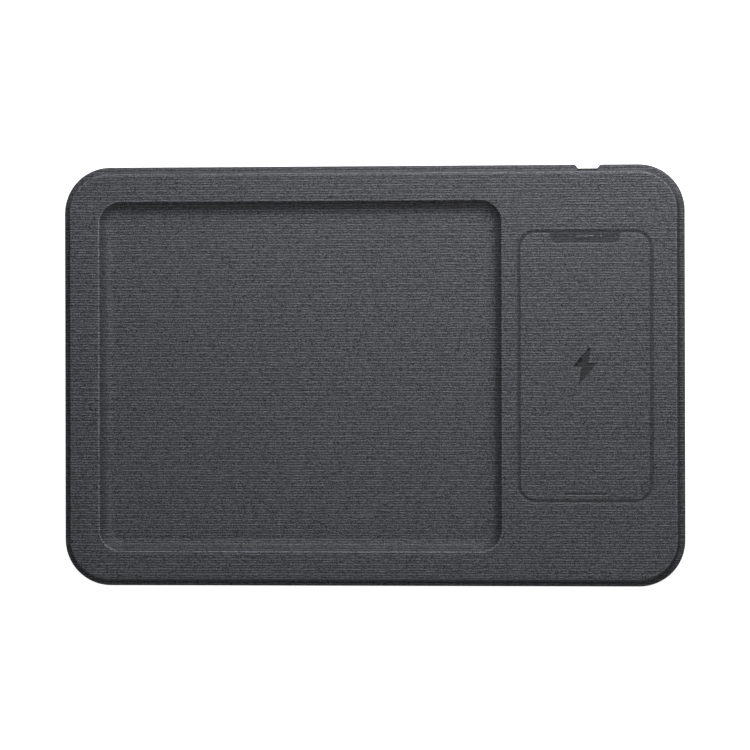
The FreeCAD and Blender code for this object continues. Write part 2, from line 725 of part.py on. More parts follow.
def make_screws():
    seat = f"{CASE_BOTTOM} + sink"
    length = "case_screw_length"
    screws = [
        make_screw(f"case_screw_{i}", x, y, seat, length, True)
        for i, (x, y) in enumerate(boss_places())
    ]
    node(group("case_screws", screws), "case_screws")
    near_left, _, _, far_right = standoff_places()
    length = "board_screw_length"
    screws = [
        make_screw(f"board_screw_{i}", x, y, PCB_TOP, length, False)
        for i, (x, y) in enumerate((near_left, far_right))
    ]
    node(group("board_screws", screws), "board_screws")


# ---- inlet


def make_bezel():
    """Frame on the sloping rear wall, with a neck that goes in to the module."""
    body = new_body("port_bezel")
    low = "port_z - bezel_height / 2"
    high = "port_z + bezel_height / 2"
    across = "bezel_thick / cos(draft * 1deg)"

    def wall_y(height):
        return f"pad_depth / 2 - inset - tan(draft * 1deg) * ({height} - ({SEAM}))"

    side = new_sketch(body, "bezel_side", ("port_x", 0, 0), "YZ_Plane")
    add_polygon(
        side,
        (
            (wall_y(low), low),
            (f"{wall_y(low)} + {across}", low),
            (f"{wall_y(high)} + {across}", high),
            (wall_y(high), high),
        ),
    )
    pad(body, side, "bezel_width", both=True)
    corners = edges_where(body, lambda e: e.BoundBox.YLength > 0.1 and e.BoundBox.ZLength < 1e-3)
    fillet(body, "bezel_corners", corners, "bezel_corner")
    neck = new_sketch(body, "bezel_neck", ("port_x", "case_rear", "port_z"), "XZ_Plane")
    add_rounded(neck, "neck_width", "neck_height", "bezel_corner")
    pad(body, neck, "port_front - case_rear", back=True)
    mouth = new_sketch(body, "bezel_mouth", ("port_x", "case_rear - 1", "port_z"), "XZ_Plane")
    add_rounded(mouth, "mouth_width", "mouth_height", "0.4 * mouth_height")
    pocket(body, mouth, "8")
    node(body, "port_bezel")


def make_receptacle():
    rear = "port_front - shell_length"
    body = new_body("usb_c_shell")
    outline = new_sketch(body, "shell_outline", ("port_x", rear, "port_z"), "XZ_Plane")
    add_rounded(outline, "shell_width", "shell_height", "shell_corner")
    pad(body, outline, "shell_length", back=True)
    room = new_sketch(body, "shell_room", ("port_x", "port_front", "port_z"), "XZ_Plane")
    sides = ("shell_width - 2 * shell_wall", "shell_height - 2 * shell_wall")
    add_rounded(room, *sides, "shell_corner - shell_wall")
    pocket(body, room, "shell_length - shell_wall", back=True)
    wings = new_sketch(body, "shell_wings", ("port_x", f"{rear} + 1.4", PCB_TOP))
    add_rounded(wings, "shell_width + 2", "1.6", "0.3")
    pad(body, wings, "shell_wall")
    clear = new_sketch(body, "shell_clear", ("port_x", "port_front", "port_z"), "XZ_Plane")
    add_rounded(clear, *sides, "shell_corner - shell_wall")
    pocket(body, clear, "shell_length - shell_wall", back=True)
    node(body, "usb_c_shell")

    inner = f"{rear} + shell_wall"
    tongue_length = "shell_length - shell_wall - tongue_recess"
    tongue = block(
        "tongue_blade", "tongue_width", tongue_length, "tongue_thick",
        "port_x", f"{inner} + ({tongue_length}) / 2", "port_z - tongue_thick / 2",
    )
    thick = "shell_height - 2 * shell_wall"
    back = block(
        "tongue_back", "tongue_width - 2 * shell_wall", "insulator", thick,
        "port_x", f"{inner} + insulator / 2", f"port_z - ({thick}) / 2",
    )
    node(fuse("usb_c_tongue", (tongue, back)), "usb_c_tongue")
    contacts = []
    count = 12
    above = "port_z + tongue_thick / 2"
    below = "port_z - tongue_thick / 2 - contact_thick"
    for row, z in (("upper", above), ("lower", below)):
        for i in range(count):
            x = f"port_x + {i - (count - 1) / 2} * contact_pitch"
            y = f"{inner} + insulator + contact_length / 2"
            sides = ("contact_width", "contact_length", "contact_thick")
            contacts.append(block(f"contact_{row}_{i}", *sides, x, y, z))
    node(group("usb_c_contacts", contacts), "usb_c_contacts")


# ---- coil


def swept(points, bend, radius):
    """A round wire along straight runs joined by tangent arcs."""
    corners = [FreeCAD.Vector(*point) for point in points]
    edges = []
    start = corners[0]
    for before, corner, after in zip(corners, corners[1:], corners[2:]):
        arrive = (corner - before).normalize()
        leave = (after - corner).normalize()
        turn = arrive.getAngle(leave)
        trim = bend * math.tan(turn / 2)
        first = corner - arrive * trim
        last = corner + leave * trim
        inward = (leave - arrive).normalize()
        halfway = corner + inward * (bend / math.cos(turn / 2) - bend)
        edges.append(Part.LineSegment(start, first).toShape())
        edges.append(Part.Arc(first, halfway, last).toShape())
        start = last
    edges.append(Part.LineSegment(start, corners[-1]).toShape())
    return sweep_round(edges, radius, corners[0], corners[1] - corners[0])


def sweep_round(edges, radius, start, direction):
    path = Part.Wire(edges)
    section = Part.Wire([Part.Circle(start, direction, radius).toShape()])
    solid = path.makePipeShell([section], True, False)
    expected = math.pi * radius**2 * path.Length
    if abs(solid.Volume - expected) > 0.01 * expected:
        raise RuntimeError("a swept wire has the wrong volume")
    return solid


def wire_feature(name, shape):
    feature = doc.addObject("Part::Feature", name)
    feature.Shape = shape
    place(feature, "mark_x", "mark_y", "0")
    return feature


def make_coil():
    """A flat spiral of half turns whose middles alternate, wound outwards from the rear side."""
    pitch = number("coil_pitch")
    height = number(COIL_MIDDLE)
    radius = number("coil_inner")
    shift = 0.0
    edges = []
    for half_turn in range(2 * int(number("coil_turns"))):
        side = 1 if half_turn % 2 == 0 else -1
        middle = FreeCAD.Vector(0, shift, height)
        start = middle + FreeCAD.Vector(0, side * radius, 0)
        halfway = middle + FreeCAD.Vector(side * radius, 0, 0)
        end = middle - FreeCAD.Vector(0, side * radius, 0)
        edges.append(Part.Arc(start, halfway, end).toShape())
        radius += pitch / 2
        shift += side * pitch / 2
    start = FreeCAD.Vector(0, number("coil_inner"), height)
    coil = sweep_round(edges, number("wire_radius"), start, FreeCAD.Vector(1, 0, 0))
    node(wire_feature("charging_coil", coil), "charging_coil")
    return end.y


def make_leads(outer_end):
    """The two leads of the coil and the two wires of the thermistor, out to the circuit board."""
    low = number(LEAD_MIDDLE)
    high = number(COIL_MIDDLE)
    radius = number("lead_radius")
    bend = 1.3 * radius
    board_front = "pcb_rear - pcb_length - mark_y"
    land = number(f"{board_front} + lead_land")
    ramp = number(f"{board_front} - lead_stop")
    risen = ramp + number("lead_rise")
    board_z = number(PCB_TOP) + radius + 0.05
    inner = number("coil_inner")
    left = number("lead_inner")
    right = number("lead_outer")
    under = ((0, inner, high), (left, inner, high), (left, inner, low), (left, ramp, low))
    over = ((0, outer_end, high), (right, outer_end, high), (right, ramp, high))
    leads = (
        swept((*under, (left, risen, board_z), (left, land, board_z)), bend, radius),
        swept((*over, (right, risen + 1, board_z), (right, land, board_z)), bend, radius),
    )
    shapes = [wire_feature(f"coil_lead_{i}", shape) for i, shape in enumerate(leads)]
    node(group("coil_leads", shapes), "coil_leads")

    thin = number("bead_lead")
    middle = number(SHIELD_TOP) + number("bead_height") / 2
    spots = (number("bead_lead_left"), number("bead_lead_right"))
    start = math.sqrt(number("bead_radius") ** 2 - max(spots) ** 2) - 0.05
    drop = number("slot_start") + 1
    board_z = number(PCB_TOP) + thin + 0.05
    wires = []
    for i, x in enumerate(spots):
        top = ((x, start, middle), (x, drop, middle), (x, drop + 1.2, low), (x, ramp, low))
        shape = swept((*top, (x, risen, board_z), (x, land, board_z)), 2 * thin, thin)
        wires.append(wire_feature(f"thermistor_lead_{i}", shape))
    node(group("thermistor_leads", wires), "thermistor_leads")
    return wires


def make_coil_seat():
    body = new_body("coil_carrier")
    plate = new_sketch(body, "seat_outline", ("mark_x", "mark_y", CASE_FLOOR))
    add_circle(plate, "seat_radius")
    pad(body, plate, "seat_height + seat_rim")
    bed = new_sketch(body, "seat_bed", ("mark_x", "mark_y", f"{SEAT_TOP} + seat_rim"))
    add_circle(bed, "shield_radius + 0.2")
    pocket(body, bed, "seat_rim")
    hollow = new_sketch(body, "seat_hollow", ("mark_x", "mark_y", CASE_FLOOR))
    add_circle(hollow, "seat_radius - seat_wall")
    pocket(body, hollow, "seat_height - seat_skin", back=True)
    hub = new_sketch(body, "seat_hub", ("mark_x", "mark_y", CASE_FLOOR))
    add_circle(hub, "seat_hole + 1")
    pad(body, hub, "seat_height - seat_skin")
    slot = new_sketch(body, "seat_slot", ("mark_x", "mark_y + seat_radius", f"{SEAT_TOP} + seat_rim"))
    add_rounded(slot, "shield_slot + 5", "8", "0.5")
    pocket(body, slot, "seat_rim")
    hole = new_sketch(body, "seat_hole", ("mark_x", "mark_y", SEAT_TOP))
    add_circle(hole, "seat_hole", "0", "-seat_hole_ring")
    opening = pocket(body, hole, "seat_skin")
    pattern = body.newObject("PartDesign::PolarPattern", "seat_holes")
    pattern.Originals = [opening]
    pattern.Axis = (hole, ["N_Axis"])
    pattern.Angle = 360
    pattern.Occurrences = 6
    body.Tip = pattern
    doc.recompute()
    node(body, "coil_carrier")


def make_shield():
    film = rod("ferrite_adhesive", "shield_radius - 0.2", "film", "mark_x", "mark_y", SEAT_TOP)
    node(film, "ferrite_adhesive")
    disc = rod("shield_disc", "shield_radius", "shield_thick", "mark_x", "mark_y", SHIELD_BOTTOM)
    length = "shield_radius"
    slot_y = f"mark_y + slot_start + {length} / 2"
    slot = block("shield_slot_cut", "shield_slot", length, "shield_thick", "mark_x", slot_y, SHIELD_BOTTOM)
    node(cut("ferrite_shield", disc, slot), "ferrite_shield")


def make_thermistor(wires):
    bead = rod("bead", "bead_radius", "bead_height", "mark_x", "mark_y", SHIELD_TOP)
    node(cut("thermistor", bead, *wires), "thermistor")


# ---- circuit board


def make_board():
    body = new_body("circuit_board")
    outline = new_sketch(body, "pcb_outline", ("mark_x", "pcb_rear - pcb_length / 2", PCB_BOTTOM))
    add_rounded(outline, "pcb_width", "pcb_length", "pcb_corner")
    pad(body, outline, "pcb_thick")
    holes = circles(body, "pcb_holes", standoff_places(), "thread_radius + 0.15", PCB_TOP)
    pocket(body, holes, "pcb_thick")
    depth = "pcb_rear - (port_front - shell_length) + gap"
    slot = new_sketch(body, "pcb_slot", ("port_x", "pcb_rear", PCB_TOP))
    add_rounded(slot, "shell_width + gap", f"2 * ({depth})", "0.4")
    pocket(body, slot, "pcb_thick")
    node(body, "circuit_board")


def on_board(name, length, width, height, x, y, lift="0"):
    """A block on the circuit board, x and y being from the middle of its front edge."""
    return block(
        name, length, width, height,
        f"mark_x + ({x})", f"pcb_rear - pcb_length + ({y})", f"{PCB_TOP} + {lift}",
    )


def capped_chip(name, length, width, height, x, y):
    """A chip part: a body between two slightly larger end caps, all one solid."""
    cap = 0.18 * length
    middle = on_board(f"{name}_middle", length - cap, 0.92 * width, 0.92 * height, x, y, 0.04 * height)
    ends = [
        on_board(f"{name}_end_{side}", cap, width, height, x + side * (length - cap) / 2, y)
        for side in (-1, 1)
    ]
    return fuse(name, (middle, *ends))


def rows(count, columns, x, y, step_x, step_y):
    """Middles of the first count places of a grid that fills from left to right."""
    for i in range(count):
        yield x + step_x * (i % columns), y + step_y * (i // columns)


def make_components():
    """What is soldered to the top of the circuit board, in millimetres from its front edge."""
    chip = on_board("control_package", 6, 6, 0.85, 2, 33)
    dot = rod("pin_mark", 0.35, 0.1, "mark_x - 0.3", "pcb_rear - pcb_length + 35.3", f"{PCB_TOP} + 0.75")
    node(cut("control_chip", chip, dot), "control_chip")

    bridge = [
        chamfer(f"power_chip_{i}", on_board(f"bridge_{i}", 3.3, 3.3, 0.8, x, y), 0.12)
        for i, (x, y) in enumerate(rows(4, 2, -11, 17, 5, 5))
    ]
    node(group("power_chips", bridge), "power_chips")

    bulk = [
        chamfer(f"bulk_{i}", on_board(f"bulk_body_{i}", 7.3, 4.3, 1.9, x, y), 0.3)
        for i, (x, y) in enumerate(rows(2, 1, -14, 30, 0, 6))
    ]
    node(group("bulk_capacitors", bulk), "bulk_capacitors")

    choke = on_board("inductor_body", 5.4, 5.2, 2.0, -13, 45)
    node(chamfer("power_inductor", choke, 0.5), "power_inductor")

    can = on_board("crystal_can", 3.2, 2.5, 0.75, 10, 36)
    node(chamfer("crystal", can, 0.15), "crystal")

    chips = (
        ("resonant_capacitors", 3.2, 2.5, 1.7, (rows(6, 3, 6, 14, 4.2, 3.4),)),
        ("chip_capacitors", 1.6, 0.8, 0.8, (rows(8, 4, 10, 26, 3, 2.4), rows(4, 4, -6, 44, 3, 0))),
        ("chip_resistors", 1.6, 0.8, 0.5, (rows(8, 4, 8, 44, 3, 2.4), rows(3, 3, -6, 50, 3, 0))),
    )
    for name, length, width, height, grids in chips:
        places = [place for grid in grids for place in grid]
        parts = [
            capped_chip(f"{name}_{i}", length, width, height, x, y)
            for i, (x, y) in enumerate(places)
        ]
        node(group(name, parts), name)

    pad_y = "pcb_rear - pcb_length + 24"
    sides = ("thermal_length", "thermal_width", "standoff")
    node(block("thermal_pad", *sides, "mark_x - 3", pad_y, CASE_FLOOR), "thermal_pad")


def make_tape():
    middle = "(case_front + case_rear) / 2"
    sides = ("case_width - 2 * tape_inset", "case_rear - case_front - 2 * tape_end", "tape")
    node(block("mounting_tape", *sides, "mark_x", middle, BOARD_TOP), "mounting_tape")


# ---- checks and files


def check_and_write():
    doc.recompute()
    for thing in doc.Objects:
        if {"Invalid", "Error"} & set(thing.State):
            raise RuntimeError(f"{thing.Name} failed: {thing.State}")
    os.makedirs("parts", exist_ok=True)
    for thing in nodes:
        if thing.Shape.isNull() or not thing.Shape.isValid() or not thing.Shape.Solids:
            raise RuntimeError(f"{thing.Label} has no valid shape")
        thing.Shape.exportStep(f"parts/{thing.Label}.step")
        box = thing.Shape.BoundBox
        spans = ((box.XMin, box.XMax), (box.YMin, box.YMax), (box.ZMin, box.ZMax))
        sizes = "  ".join(f"{low:8.2f} {high:8.2f}" for low, high in spans)
        print(f"{thing.Label:22} {len(thing.Shape.Solids):3} solids {thing.Shape.Volume:12.1f} mm3  {sizes}")


fill_sheet()
charger_space = make_charger_space()
port_hole = make_port_hole()
make_raised_body()
make_base()
make_feet()
make_tape()
make_case_base()
make_case_lid()
make_screws()
make_bezel()
make_receptacle()
make_coil_seat()
make_shield()
thermistor_wires = make_leads(make_coil())
make_thermistor(thermistor_wires)
make_board()
make_components()
check_and_write()
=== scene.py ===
"""Looks of a desk tray with a built-in wireless charging pad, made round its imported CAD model."""

import json
import math

import bmesh
import bpy
import numpy as np
from mathutils import Matrix, Vector, noise
from mathutils.geometry import delaunay_2d_cdt


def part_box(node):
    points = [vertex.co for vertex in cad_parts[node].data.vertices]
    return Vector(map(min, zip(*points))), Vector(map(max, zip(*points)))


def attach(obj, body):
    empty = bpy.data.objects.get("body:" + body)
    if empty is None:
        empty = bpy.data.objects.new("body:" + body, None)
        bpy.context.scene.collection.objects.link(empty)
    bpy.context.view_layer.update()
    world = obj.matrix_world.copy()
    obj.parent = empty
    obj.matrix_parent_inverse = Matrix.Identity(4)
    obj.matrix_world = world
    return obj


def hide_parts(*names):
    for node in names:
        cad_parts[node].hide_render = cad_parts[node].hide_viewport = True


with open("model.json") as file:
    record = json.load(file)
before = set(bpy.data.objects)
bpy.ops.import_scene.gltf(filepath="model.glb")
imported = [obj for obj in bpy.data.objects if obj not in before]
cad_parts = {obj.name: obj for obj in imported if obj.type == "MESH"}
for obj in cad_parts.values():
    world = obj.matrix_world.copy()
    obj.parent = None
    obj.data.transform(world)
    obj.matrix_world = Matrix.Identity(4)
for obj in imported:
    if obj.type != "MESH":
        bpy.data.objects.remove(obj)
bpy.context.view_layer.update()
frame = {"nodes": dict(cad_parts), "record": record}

MM = 0.001


# ---- sizes, in millimetres, from the frame where it holds them


def box_mm(node):
    """Lowest and highest corner of a CAD node."""
    low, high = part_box(node)
    return [c / MM for c in low], [c / MM for c in high]


BASE_LOW, BASE_HIGH = box_mm("base_cover")
TOP_LOW, TOP_HIGH = box_mm("top_cover")
BOARD_LOW, BOARD_HIGH = box_mm("base_board")
CASE_LOW, CASE_HIGH = box_mm("charger_case_base")
SHELL_LOW, SHELL_HIGH = box_mm("usb_c_shell")
FLOOR_MOUNT = next(m for m in frame["record"]["mounts"] if m["name"] == "tray_floor")

TOP_Z = TOP_HIGH[2]
SEAM_Z = BASE_HIGH[2]
UNDER_Z = BASE_LOW[2]
SKIN = BOARD_LOW[2] - BASE_LOW[2]
LENGTH = BASE_HIGH[0] - BASE_LOW[0]
DEPTH = BASE_HIGH[1] - BASE_LOW[1]

# the base: its outline and edge, the margin turned in on top of its board, and the plug notch
RIM_CORNER = 24.5
RIM_ROUND = 1.2
BASE_LEDGE = 1.0
BASE_MARGIN = 15.0
NOTCH_MOUTH = 13.5
NOTCH_FLOOR = 9.0
NOTCH_ROUND = 0.8
NOTCH_LIP = 0.5

# the raised body: its step in from the base, its sloped wall, and the margin turned in under the foam
INSET = 2.6
DRAFT = math.radians(10)
FOOT_ROUND = 0.8
TOP_ROUND = 1.15
BODY_MARGIN = 9.0
PLATEAU_INSETS = (9.0, 6.2)

# the recess
TRAY_LENGTH = 215.6
TRAY_WIDTH = 186.5
TRAY_CORNER = 11.5
TRAY_SLOPE = math.radians(30)
TRAY_X, TRAY_Y, FLOOR_Z = (c / MM for c in FLOOR_MOUNT["pos_m"])
FLOOR_ROUND = 8.2
LIP_ROUND = 1.2
LIP_FLAT = 2.5
FLOOR_FLAT = 6.0
SWELL = 0.05
SWELL_SIZE = 28.0
SWELL_REACH = (FLOOR_Z - 0.1, TOP_Z + 0.1)

# the pressed marks
MARK_X = (CASE_LOW[0] + CASE_HIGH[0]) / 2
MARK_Y = 4.6
MARK_DEPTH = 0.42
PHONE_WIDTH = 70.3
PHONE_LENGTH = 142.75
PHONE_CORNER = 9.0
GROOVE = 1.6
CAMERA_WIDTH = 37.3
CAMERA_DROP = 7.0
CAMERA_SLANT = 1.2
CAMERA_CORNER = 3.0
CAMERA_FLARE = 2.0
SPEAKER = (9.5, 1.25)
SPEAKER_DROP = 3.25
LENS_RADIUS = 0.65
LENS_OFFSET = 8.35
RAISED = 0.4
HOME = (22.5, 1.3)
HOME_RISE = 3.9
HOME_DEPTH = 0.3
BOLT_SIZE = 21.2
BOLT = (
    (0.142, 0.503),
    (-0.317, -0.010),
    (-0.069, -0.019),
    (-0.169, -0.471),
    (0.297, 0.086),
    (0.069, 0.086),
)
BOLT_CORNER = 0.15

# half the width of a mark's soft edge, with flat rings beside it in shares of that;
# INNER_FLAT * (EDGE + OUTER_EDGE) stays under GROOVE, or the rings of its two sides cross
EDGE = 0.45
OUTER_EDGE = 0.68
BOLT_EDGE = 0.32
HOME_EDGE = 0.28
RAISED_EDGE = 0.16
OUTER_FLAT = 1.5
INNER_FLAT = 1.35
EDGE_STEPS = 8

# tone of the leather: 0 is plain, 1 is the dark of a pressed groove, and below 0 is lighter. Near the
# top a painted highlight makes the leather lightest about a tilt of PAINTED_HIGHLIGHT_TILT degrees.
# Painted shade darkens the recess wall from a tilt of WALL_START times WALL_TILT degrees, and is darkest
# one WALL_TILT further.
BOLT_TONE = 1.35
HOME_TONE = 0.85
RAISED_PAINTED_HIGHLIGHT = 1.9
# painted highlight over the top edge and recess lip: strength, reach below the top, peak tilt, spread,
# flat top
PAINTED_HIGHLIGHT_TONE = 2.7
PAINTED_HIGHLIGHT_DEPTH = 1.3
PAINTED_HIGHLIGHT_TILT = 27
PAINTED_HIGHLIGHT_SPREAD = 20
PAINTED_HIGHLIGHT_PLATEAU = 1.3
# painted shade down the steep recess wall
PAINTED_WALL_SHADE_TONE = 0.85
WALL_TILT = 14
WALL_START = 1.3

PORT_X = (SHELL_LOW[0] + SHELL_HIGH[0]) / 2
PORT_Z = (SHELL_LOW[2] + SHELL_HIGH[2]) / 2
PORT_HOLE = (10.2, 4.25)
PORT_OUTSIDE = 3.0
PORT_INSIDE = 8.0
CASE_GAP = 0.3
CASE_ROOM = 2.0

# the meshing: smallest radius, straight left in a round end, steps of an arc, and a spacing past any side
SMALLEST = 0.04
SLIVER = 0.01
ARC_STEP = math.radians(7)
WHOLE_SIDE = 1000.0
CLEAR_OF_EDGE = 0.55
SAME_POINT = 1e-7


# ---- outlines and profiles: corners are (x, y, radius), joined by straight sides


def turn_at(before, here, after):
    """Directions into and out of a corner, and how far it turns to the left."""
    into = np.subtract(here[:2], before[:2])
    out = np.subtract(after[:2], here[:2])
    into = into / np.linalg.norm(into)
    out = out / np.linalg.norm(out)
    turn = math.atan2(into[0] * out[1] - into[1] * out[0], float(into @ out))
    return into, out, turn


def straight_on(before, here):
    """Where a line from the one before to this one comes to when it runs on as far again."""
    return np.subtract(np.multiply(here, 2), before)


def moved(corners, distance, closed=True):
    """The corners once every side has moved to its left by a distance, with concentric rounding."""
    count = len(corners)
    result = []
    for i, (x, y, radius) in enumerate(corners):
        first = not closed and i == 0
        last = not closed and i == count - 1
        before = corners[i - 1] if not first else straight_on(corners[1], corners[0])
        after = corners[(i + 1) % count] if not last else straight_on(corners[i - 1], corners[i])
        into, out, turn = turn_at(before, (x, y), after)
        left = np.array((-into[1] - out[1], into[0] + out[0]))
        left = left / np.linalg.norm(left) / math.cos(turn / 2)
        wanted = max(radius - distance * math.copysign(1, turn), SMALLEST)
        result.append((x + left[0] * distance, y + left[1] * distance, wanted if radius > 0 else 0))
    return result


def steps_of(corners, spacing, arc_step=ARC_STEP):
    """How many steps each corner and the side after it take."""
    count = len(corners)
    steps = []
    for i, corner in enumerate(corners):
        after = corners[(i + 1) % count]
        side = math.dist(corner[:2], after[:2])
        arc = 0
        if corner[2] > 0:
            turn = turn_at(corners[i - 1], corner, after)[2]
            arc = max(2, round(abs(turn) / arc_step))
        steps.append((arc, max(1, round(side / spacing))))
    return steps


def traced(corners, steps, closed=True):
    """Points along an outline: round each corner, then along the side after it."""
    count = len(corners)
    arcs = []
    for i, (x, y, radius) in enumerate(corners):
        if radius == 0:
            arcs.append([np.array((x, y))])
            continue
        into, _, turn = turn_at(corners[i - 1], (x, y), corners[(i + 1) % count])
        start = np.array((x, y)) - into * radius * math.tan(abs(turn) / 2)
        side = math.copysign(radius, turn)
        centre = start + np.array((-into[1], into[0])) * side
        arm = start - centre
        points = []
        for k in range(steps[i][0] + 1):
            angle = turn * k / steps[i][0]
            c, s = math.cos(angle), math.sin(angle)
            points.append(centre + np.array((c * arm[0] - s * arm[1], s * arm[0] + c * arm[1])))
        arcs.append(points)
    line = []
    for i, arc in enumerate(arcs):
        line.extend(arc)
        if closed or i < count - 1:
            end = arcs[(i + 1) % count][0]
            parts = steps[i][1]
            line.extend(arc[-1] + (end - arc[-1]) * k / parts for k in range(1, parts))
    return np.array(line)


def rounded_rectangle(x, y, width, height, radius):
    """Corners of a rounded rectangle about (x, y), anticlockwise."""
    a, b = width / 2, height / 2
    return [(x + i * a, y + j * b, radius) for i, j in ((1, 1), (-1, 1), (-1, -1), (1, -1))]


def round_ended(x, y, width, height):
    """Corners of a bar with round ends about (x, y)."""
    return rounded_rectangle(x, y, width, height, height / 2 - SLIVER)


def profile(points, distance=0.0, step=math.radians(11)):
    """Points of a profile of (inset, height, radius) corners, moved to its left by a distance."""
    corners = moved(points, distance, closed=False) if distance else points
    return traced(corners, steps_of(corners, WHOLE_SIDE, step), closed=False)


# ---- the mesh of a skin: rings of equal count joined by quads, flat fields filled between rings


class Skin:
    """A closed leather shell under construction, in millimetres; pressed is the tone at each point:
    the dark of pressed marks, with painted highlight and painted shade laid into the same tone.
    """

    def __init__(self):
        self.points = []
        self.pressed = []
        self.faces = []
        self.weave = []

    def ring(self, outline, height, pressed=0.0):
        """Adds a closed row of points and returns their numbers."""
        start = len(self.points)
        heights = np.broadcast_to(height, len(outline))
        self.points.extend((x, y, z) for (x, y), z in zip(outline, heights))
        self.pressed.extend([pressed] * len(outline))
        return list(range(start, len(self.points)))

    def face(self, numbers, weave=None):
        """Adds a face; its weave lies flat in the plan unless it says otherwise."""
        self.faces.append(numbers)
        self.weave.append(weave or [self.points[n][:2] for n in numbers])

    def bridge(self, a, b, weave_a=None, weave_b=None):
        """Quads between two rings of equal count; a is the one on the left of the ring's direction."""
        for i in range(len(a)):
            j = (i + 1) % len(a)
            weave = None
            if weave_a is not None:
                weave = [tuple(weave_b[i]), tuple(weave_b[j]), tuple(weave_a[j]), tuple(weave_a[i])]
            self.face((b[i], b[j], a[j], a[i]), weave)

    def flat(self, outer, holes=(), spacing=4.0, up=True, pressed=0.0):
        """Triangles between an outer ring and the rings of its holes, with a grid of points inside."""
        rings = [outer, *holes]
        edge = np.array([self.points[n] for ring in rings for n in ring])
        height = edge[:, 2].mean()
        inside = grid_inside(edge[:, :2], [[self.points[n][:2] for n in ring] for ring in rings], spacing)
        numbers = [n for ring in rings for n in ring]
        numbers += self.ring(inside, height, pressed)
        sides = []
        start = 0
        for ring in rings:
            sides += [(start + i, start + (i + 1) % len(ring)) for i in range(len(ring))]
            start += len(ring)
        flat_points = [Vector(self.points[n][:2]) for n in numbers]
        made, _, triangles, origins, _, _ = delaunay_2d_cdt(flat_points, sides, [], 0, SAME_POINT)
        back = [numbers[o[0]] for o in origins]
        loops = [np.array([self.points[n][:2] for n in ring]) for ring in rings]
        middles = np.array([sum((made[v] for v in t), Vector((0, 0))) / 3 for t in triangles])
        for keep, triangle in zip(within(middles, loops), triangles):
            if keep:
                corners = [back[v] for v in triangle]
                self.face(tuple(corners if up else reversed(corners)))

    def wave(self, amount, size, low, high):
        """Lets the leather rise and fall a little over a broad scale between two heights."""
        for i, (x, y, z) in enumerate(self.points):
            if low <= z <= high:
                self.points[i] = (x, y, z + amount * noise.noise(Vector((x, y, 3 * z)) / size))

    def object(self, name):
        """Makes the Blender object, with the weave as its UV map and the tone as an attribute."""
        mesh = bpy.data.meshes.new(name)
        mesh.from_pydata([[c * MM for c in p] for p in self.points], [], self.faces)
        layer = mesh.uv_layers.new(name="weave")
        places = np.array([uv for face in self.weave for uv in face], np.float32)
        layer.data.foreach_set("uv", places.ravel())
        # the pressed attribute holds the dark of pressed marks and also the painted highlight and painted
        # shade
        field = mesh.attributes.new("pressed", "FLOAT", "POINT")
        field.data.foreach_set("value", np.array(self.pressed, np.float32))
        mesh.validate()
        thing = bpy.data.objects.new(name, mesh)
        bpy.context.scene.collection.objects.link(thing)
        return thing


def within(points, loops):
    """Which points lie inside an odd number of loops."""
    points = np.asarray(points, float).reshape(-1, 2)
    odd = np.zeros(len(points), bool)
    for loop in loops:
        loop = np.asarray(loop, float)
        for (x1, y1), (x2, y2) in zip(loop, np.roll(loop, -1, axis=0)):
            if y1 == y2:
                continue
            spans = (points[:, 1] > y1) != (points[:, 1] > y2)
            crossing = x1 + (points[:, 1] - y1) * (x2 - x1) / (y2 - y1)
            odd ^= spans & (points[:, 0] < crossing)
    return odd


def grid_inside(edge, loops, spacing):
    """Points of a staggered grid inside the loops and clear of their edges."""
    low, high = edge.min(0), edge.max(0)
    rise = spacing * math.sqrt(3) / 2
    rows = np.arange(low[1] + rise / 2, high[1], rise)
    found = []
    for k, y in enumerate(rows):
        xs = np.arange(low[0] + spacing * (0.5 if k % 2 else 1.0), high[0], spacing)
        row = np.column_stack([xs, np.full(len(xs), y)])
        row = row[within(row, loops)]
        if len(row):
            gap = np.sqrt(((row[:, None] - edge[None]) ** 2).sum(-1)).min(1)
            found.append(row[gap > CLEAR_OF_EDGE * spacing])
    return np.concatenate(found) if found else np.zeros((0, 2))


# ---- the top skin


def painted_highlight_and_shade(line):
    """Tone along a profile: a painted highlight over the top edge and lip, and painted shade down
    the recess wall."""
    slopes = np.abs(np.gradient(np.array(line), axis=0))
    tilts = np.degrees(np.arctan2(slopes[:, 1], slopes[:, 0]))
    near_top = np.array([height > TOP_Z - PAINTED_HIGHLIGHT_DEPTH for _, height in line])
    # painted highlight near the top, strongest where the profile tilts about PAINTED_HIGHLIGHT_TILT
    # degrees
    light = PAINTED_HIGHLIGHT_TONE * near_top * np.clip(PAINTED_HIGHLIGHT_PLATEAU - np.abs(tilts - PAINTED_HIGHLIGHT_TILT) / PAINTED_HIGHLIGHT_SPREAD, 0, 1)
    ends_on_tray_floor = line[-1][1] > SEAM_Z
    # painted shade on the steep recess wall, left off where the highlight is painted
    painted_shade_share = np.clip(tilts / WALL_TILT - WALL_START, 0, 1)
    return PAINTED_WALL_SHADE_TONE * painted_shade_share * ends_on_tray_floor * (light == 0) - light


def rings_along(skin, corners, steps, line, tones=None):
    """A ring of one outline at each (inset, height) of a profile."""
    if tones is None:
        tones = [0.0] * len(line)
    rings = []
    for (inset, height), tone in zip(line, tones):
        rings.append(skin.ring(traced(moved(corners, inset), steps), height, tone))
    return rings


def slope_rings(skin, corners, steps, line):
    """Rings along a profile, and where each lies on the weave, which unrolls outward from the first."""
    rings = rings_along(skin, corners, steps, line, painted_highlight_and_shade(line))
    first = traced(moved(corners, line[0][0]), steps)
    outward = traced(moved(corners, line[0][0] - 1), steps) - first
    lengths = np.concatenate([[0], np.cumsum(np.hypot(*np.diff(line, axis=0).T))])
    return rings, [first + outward * length for length in lengths]


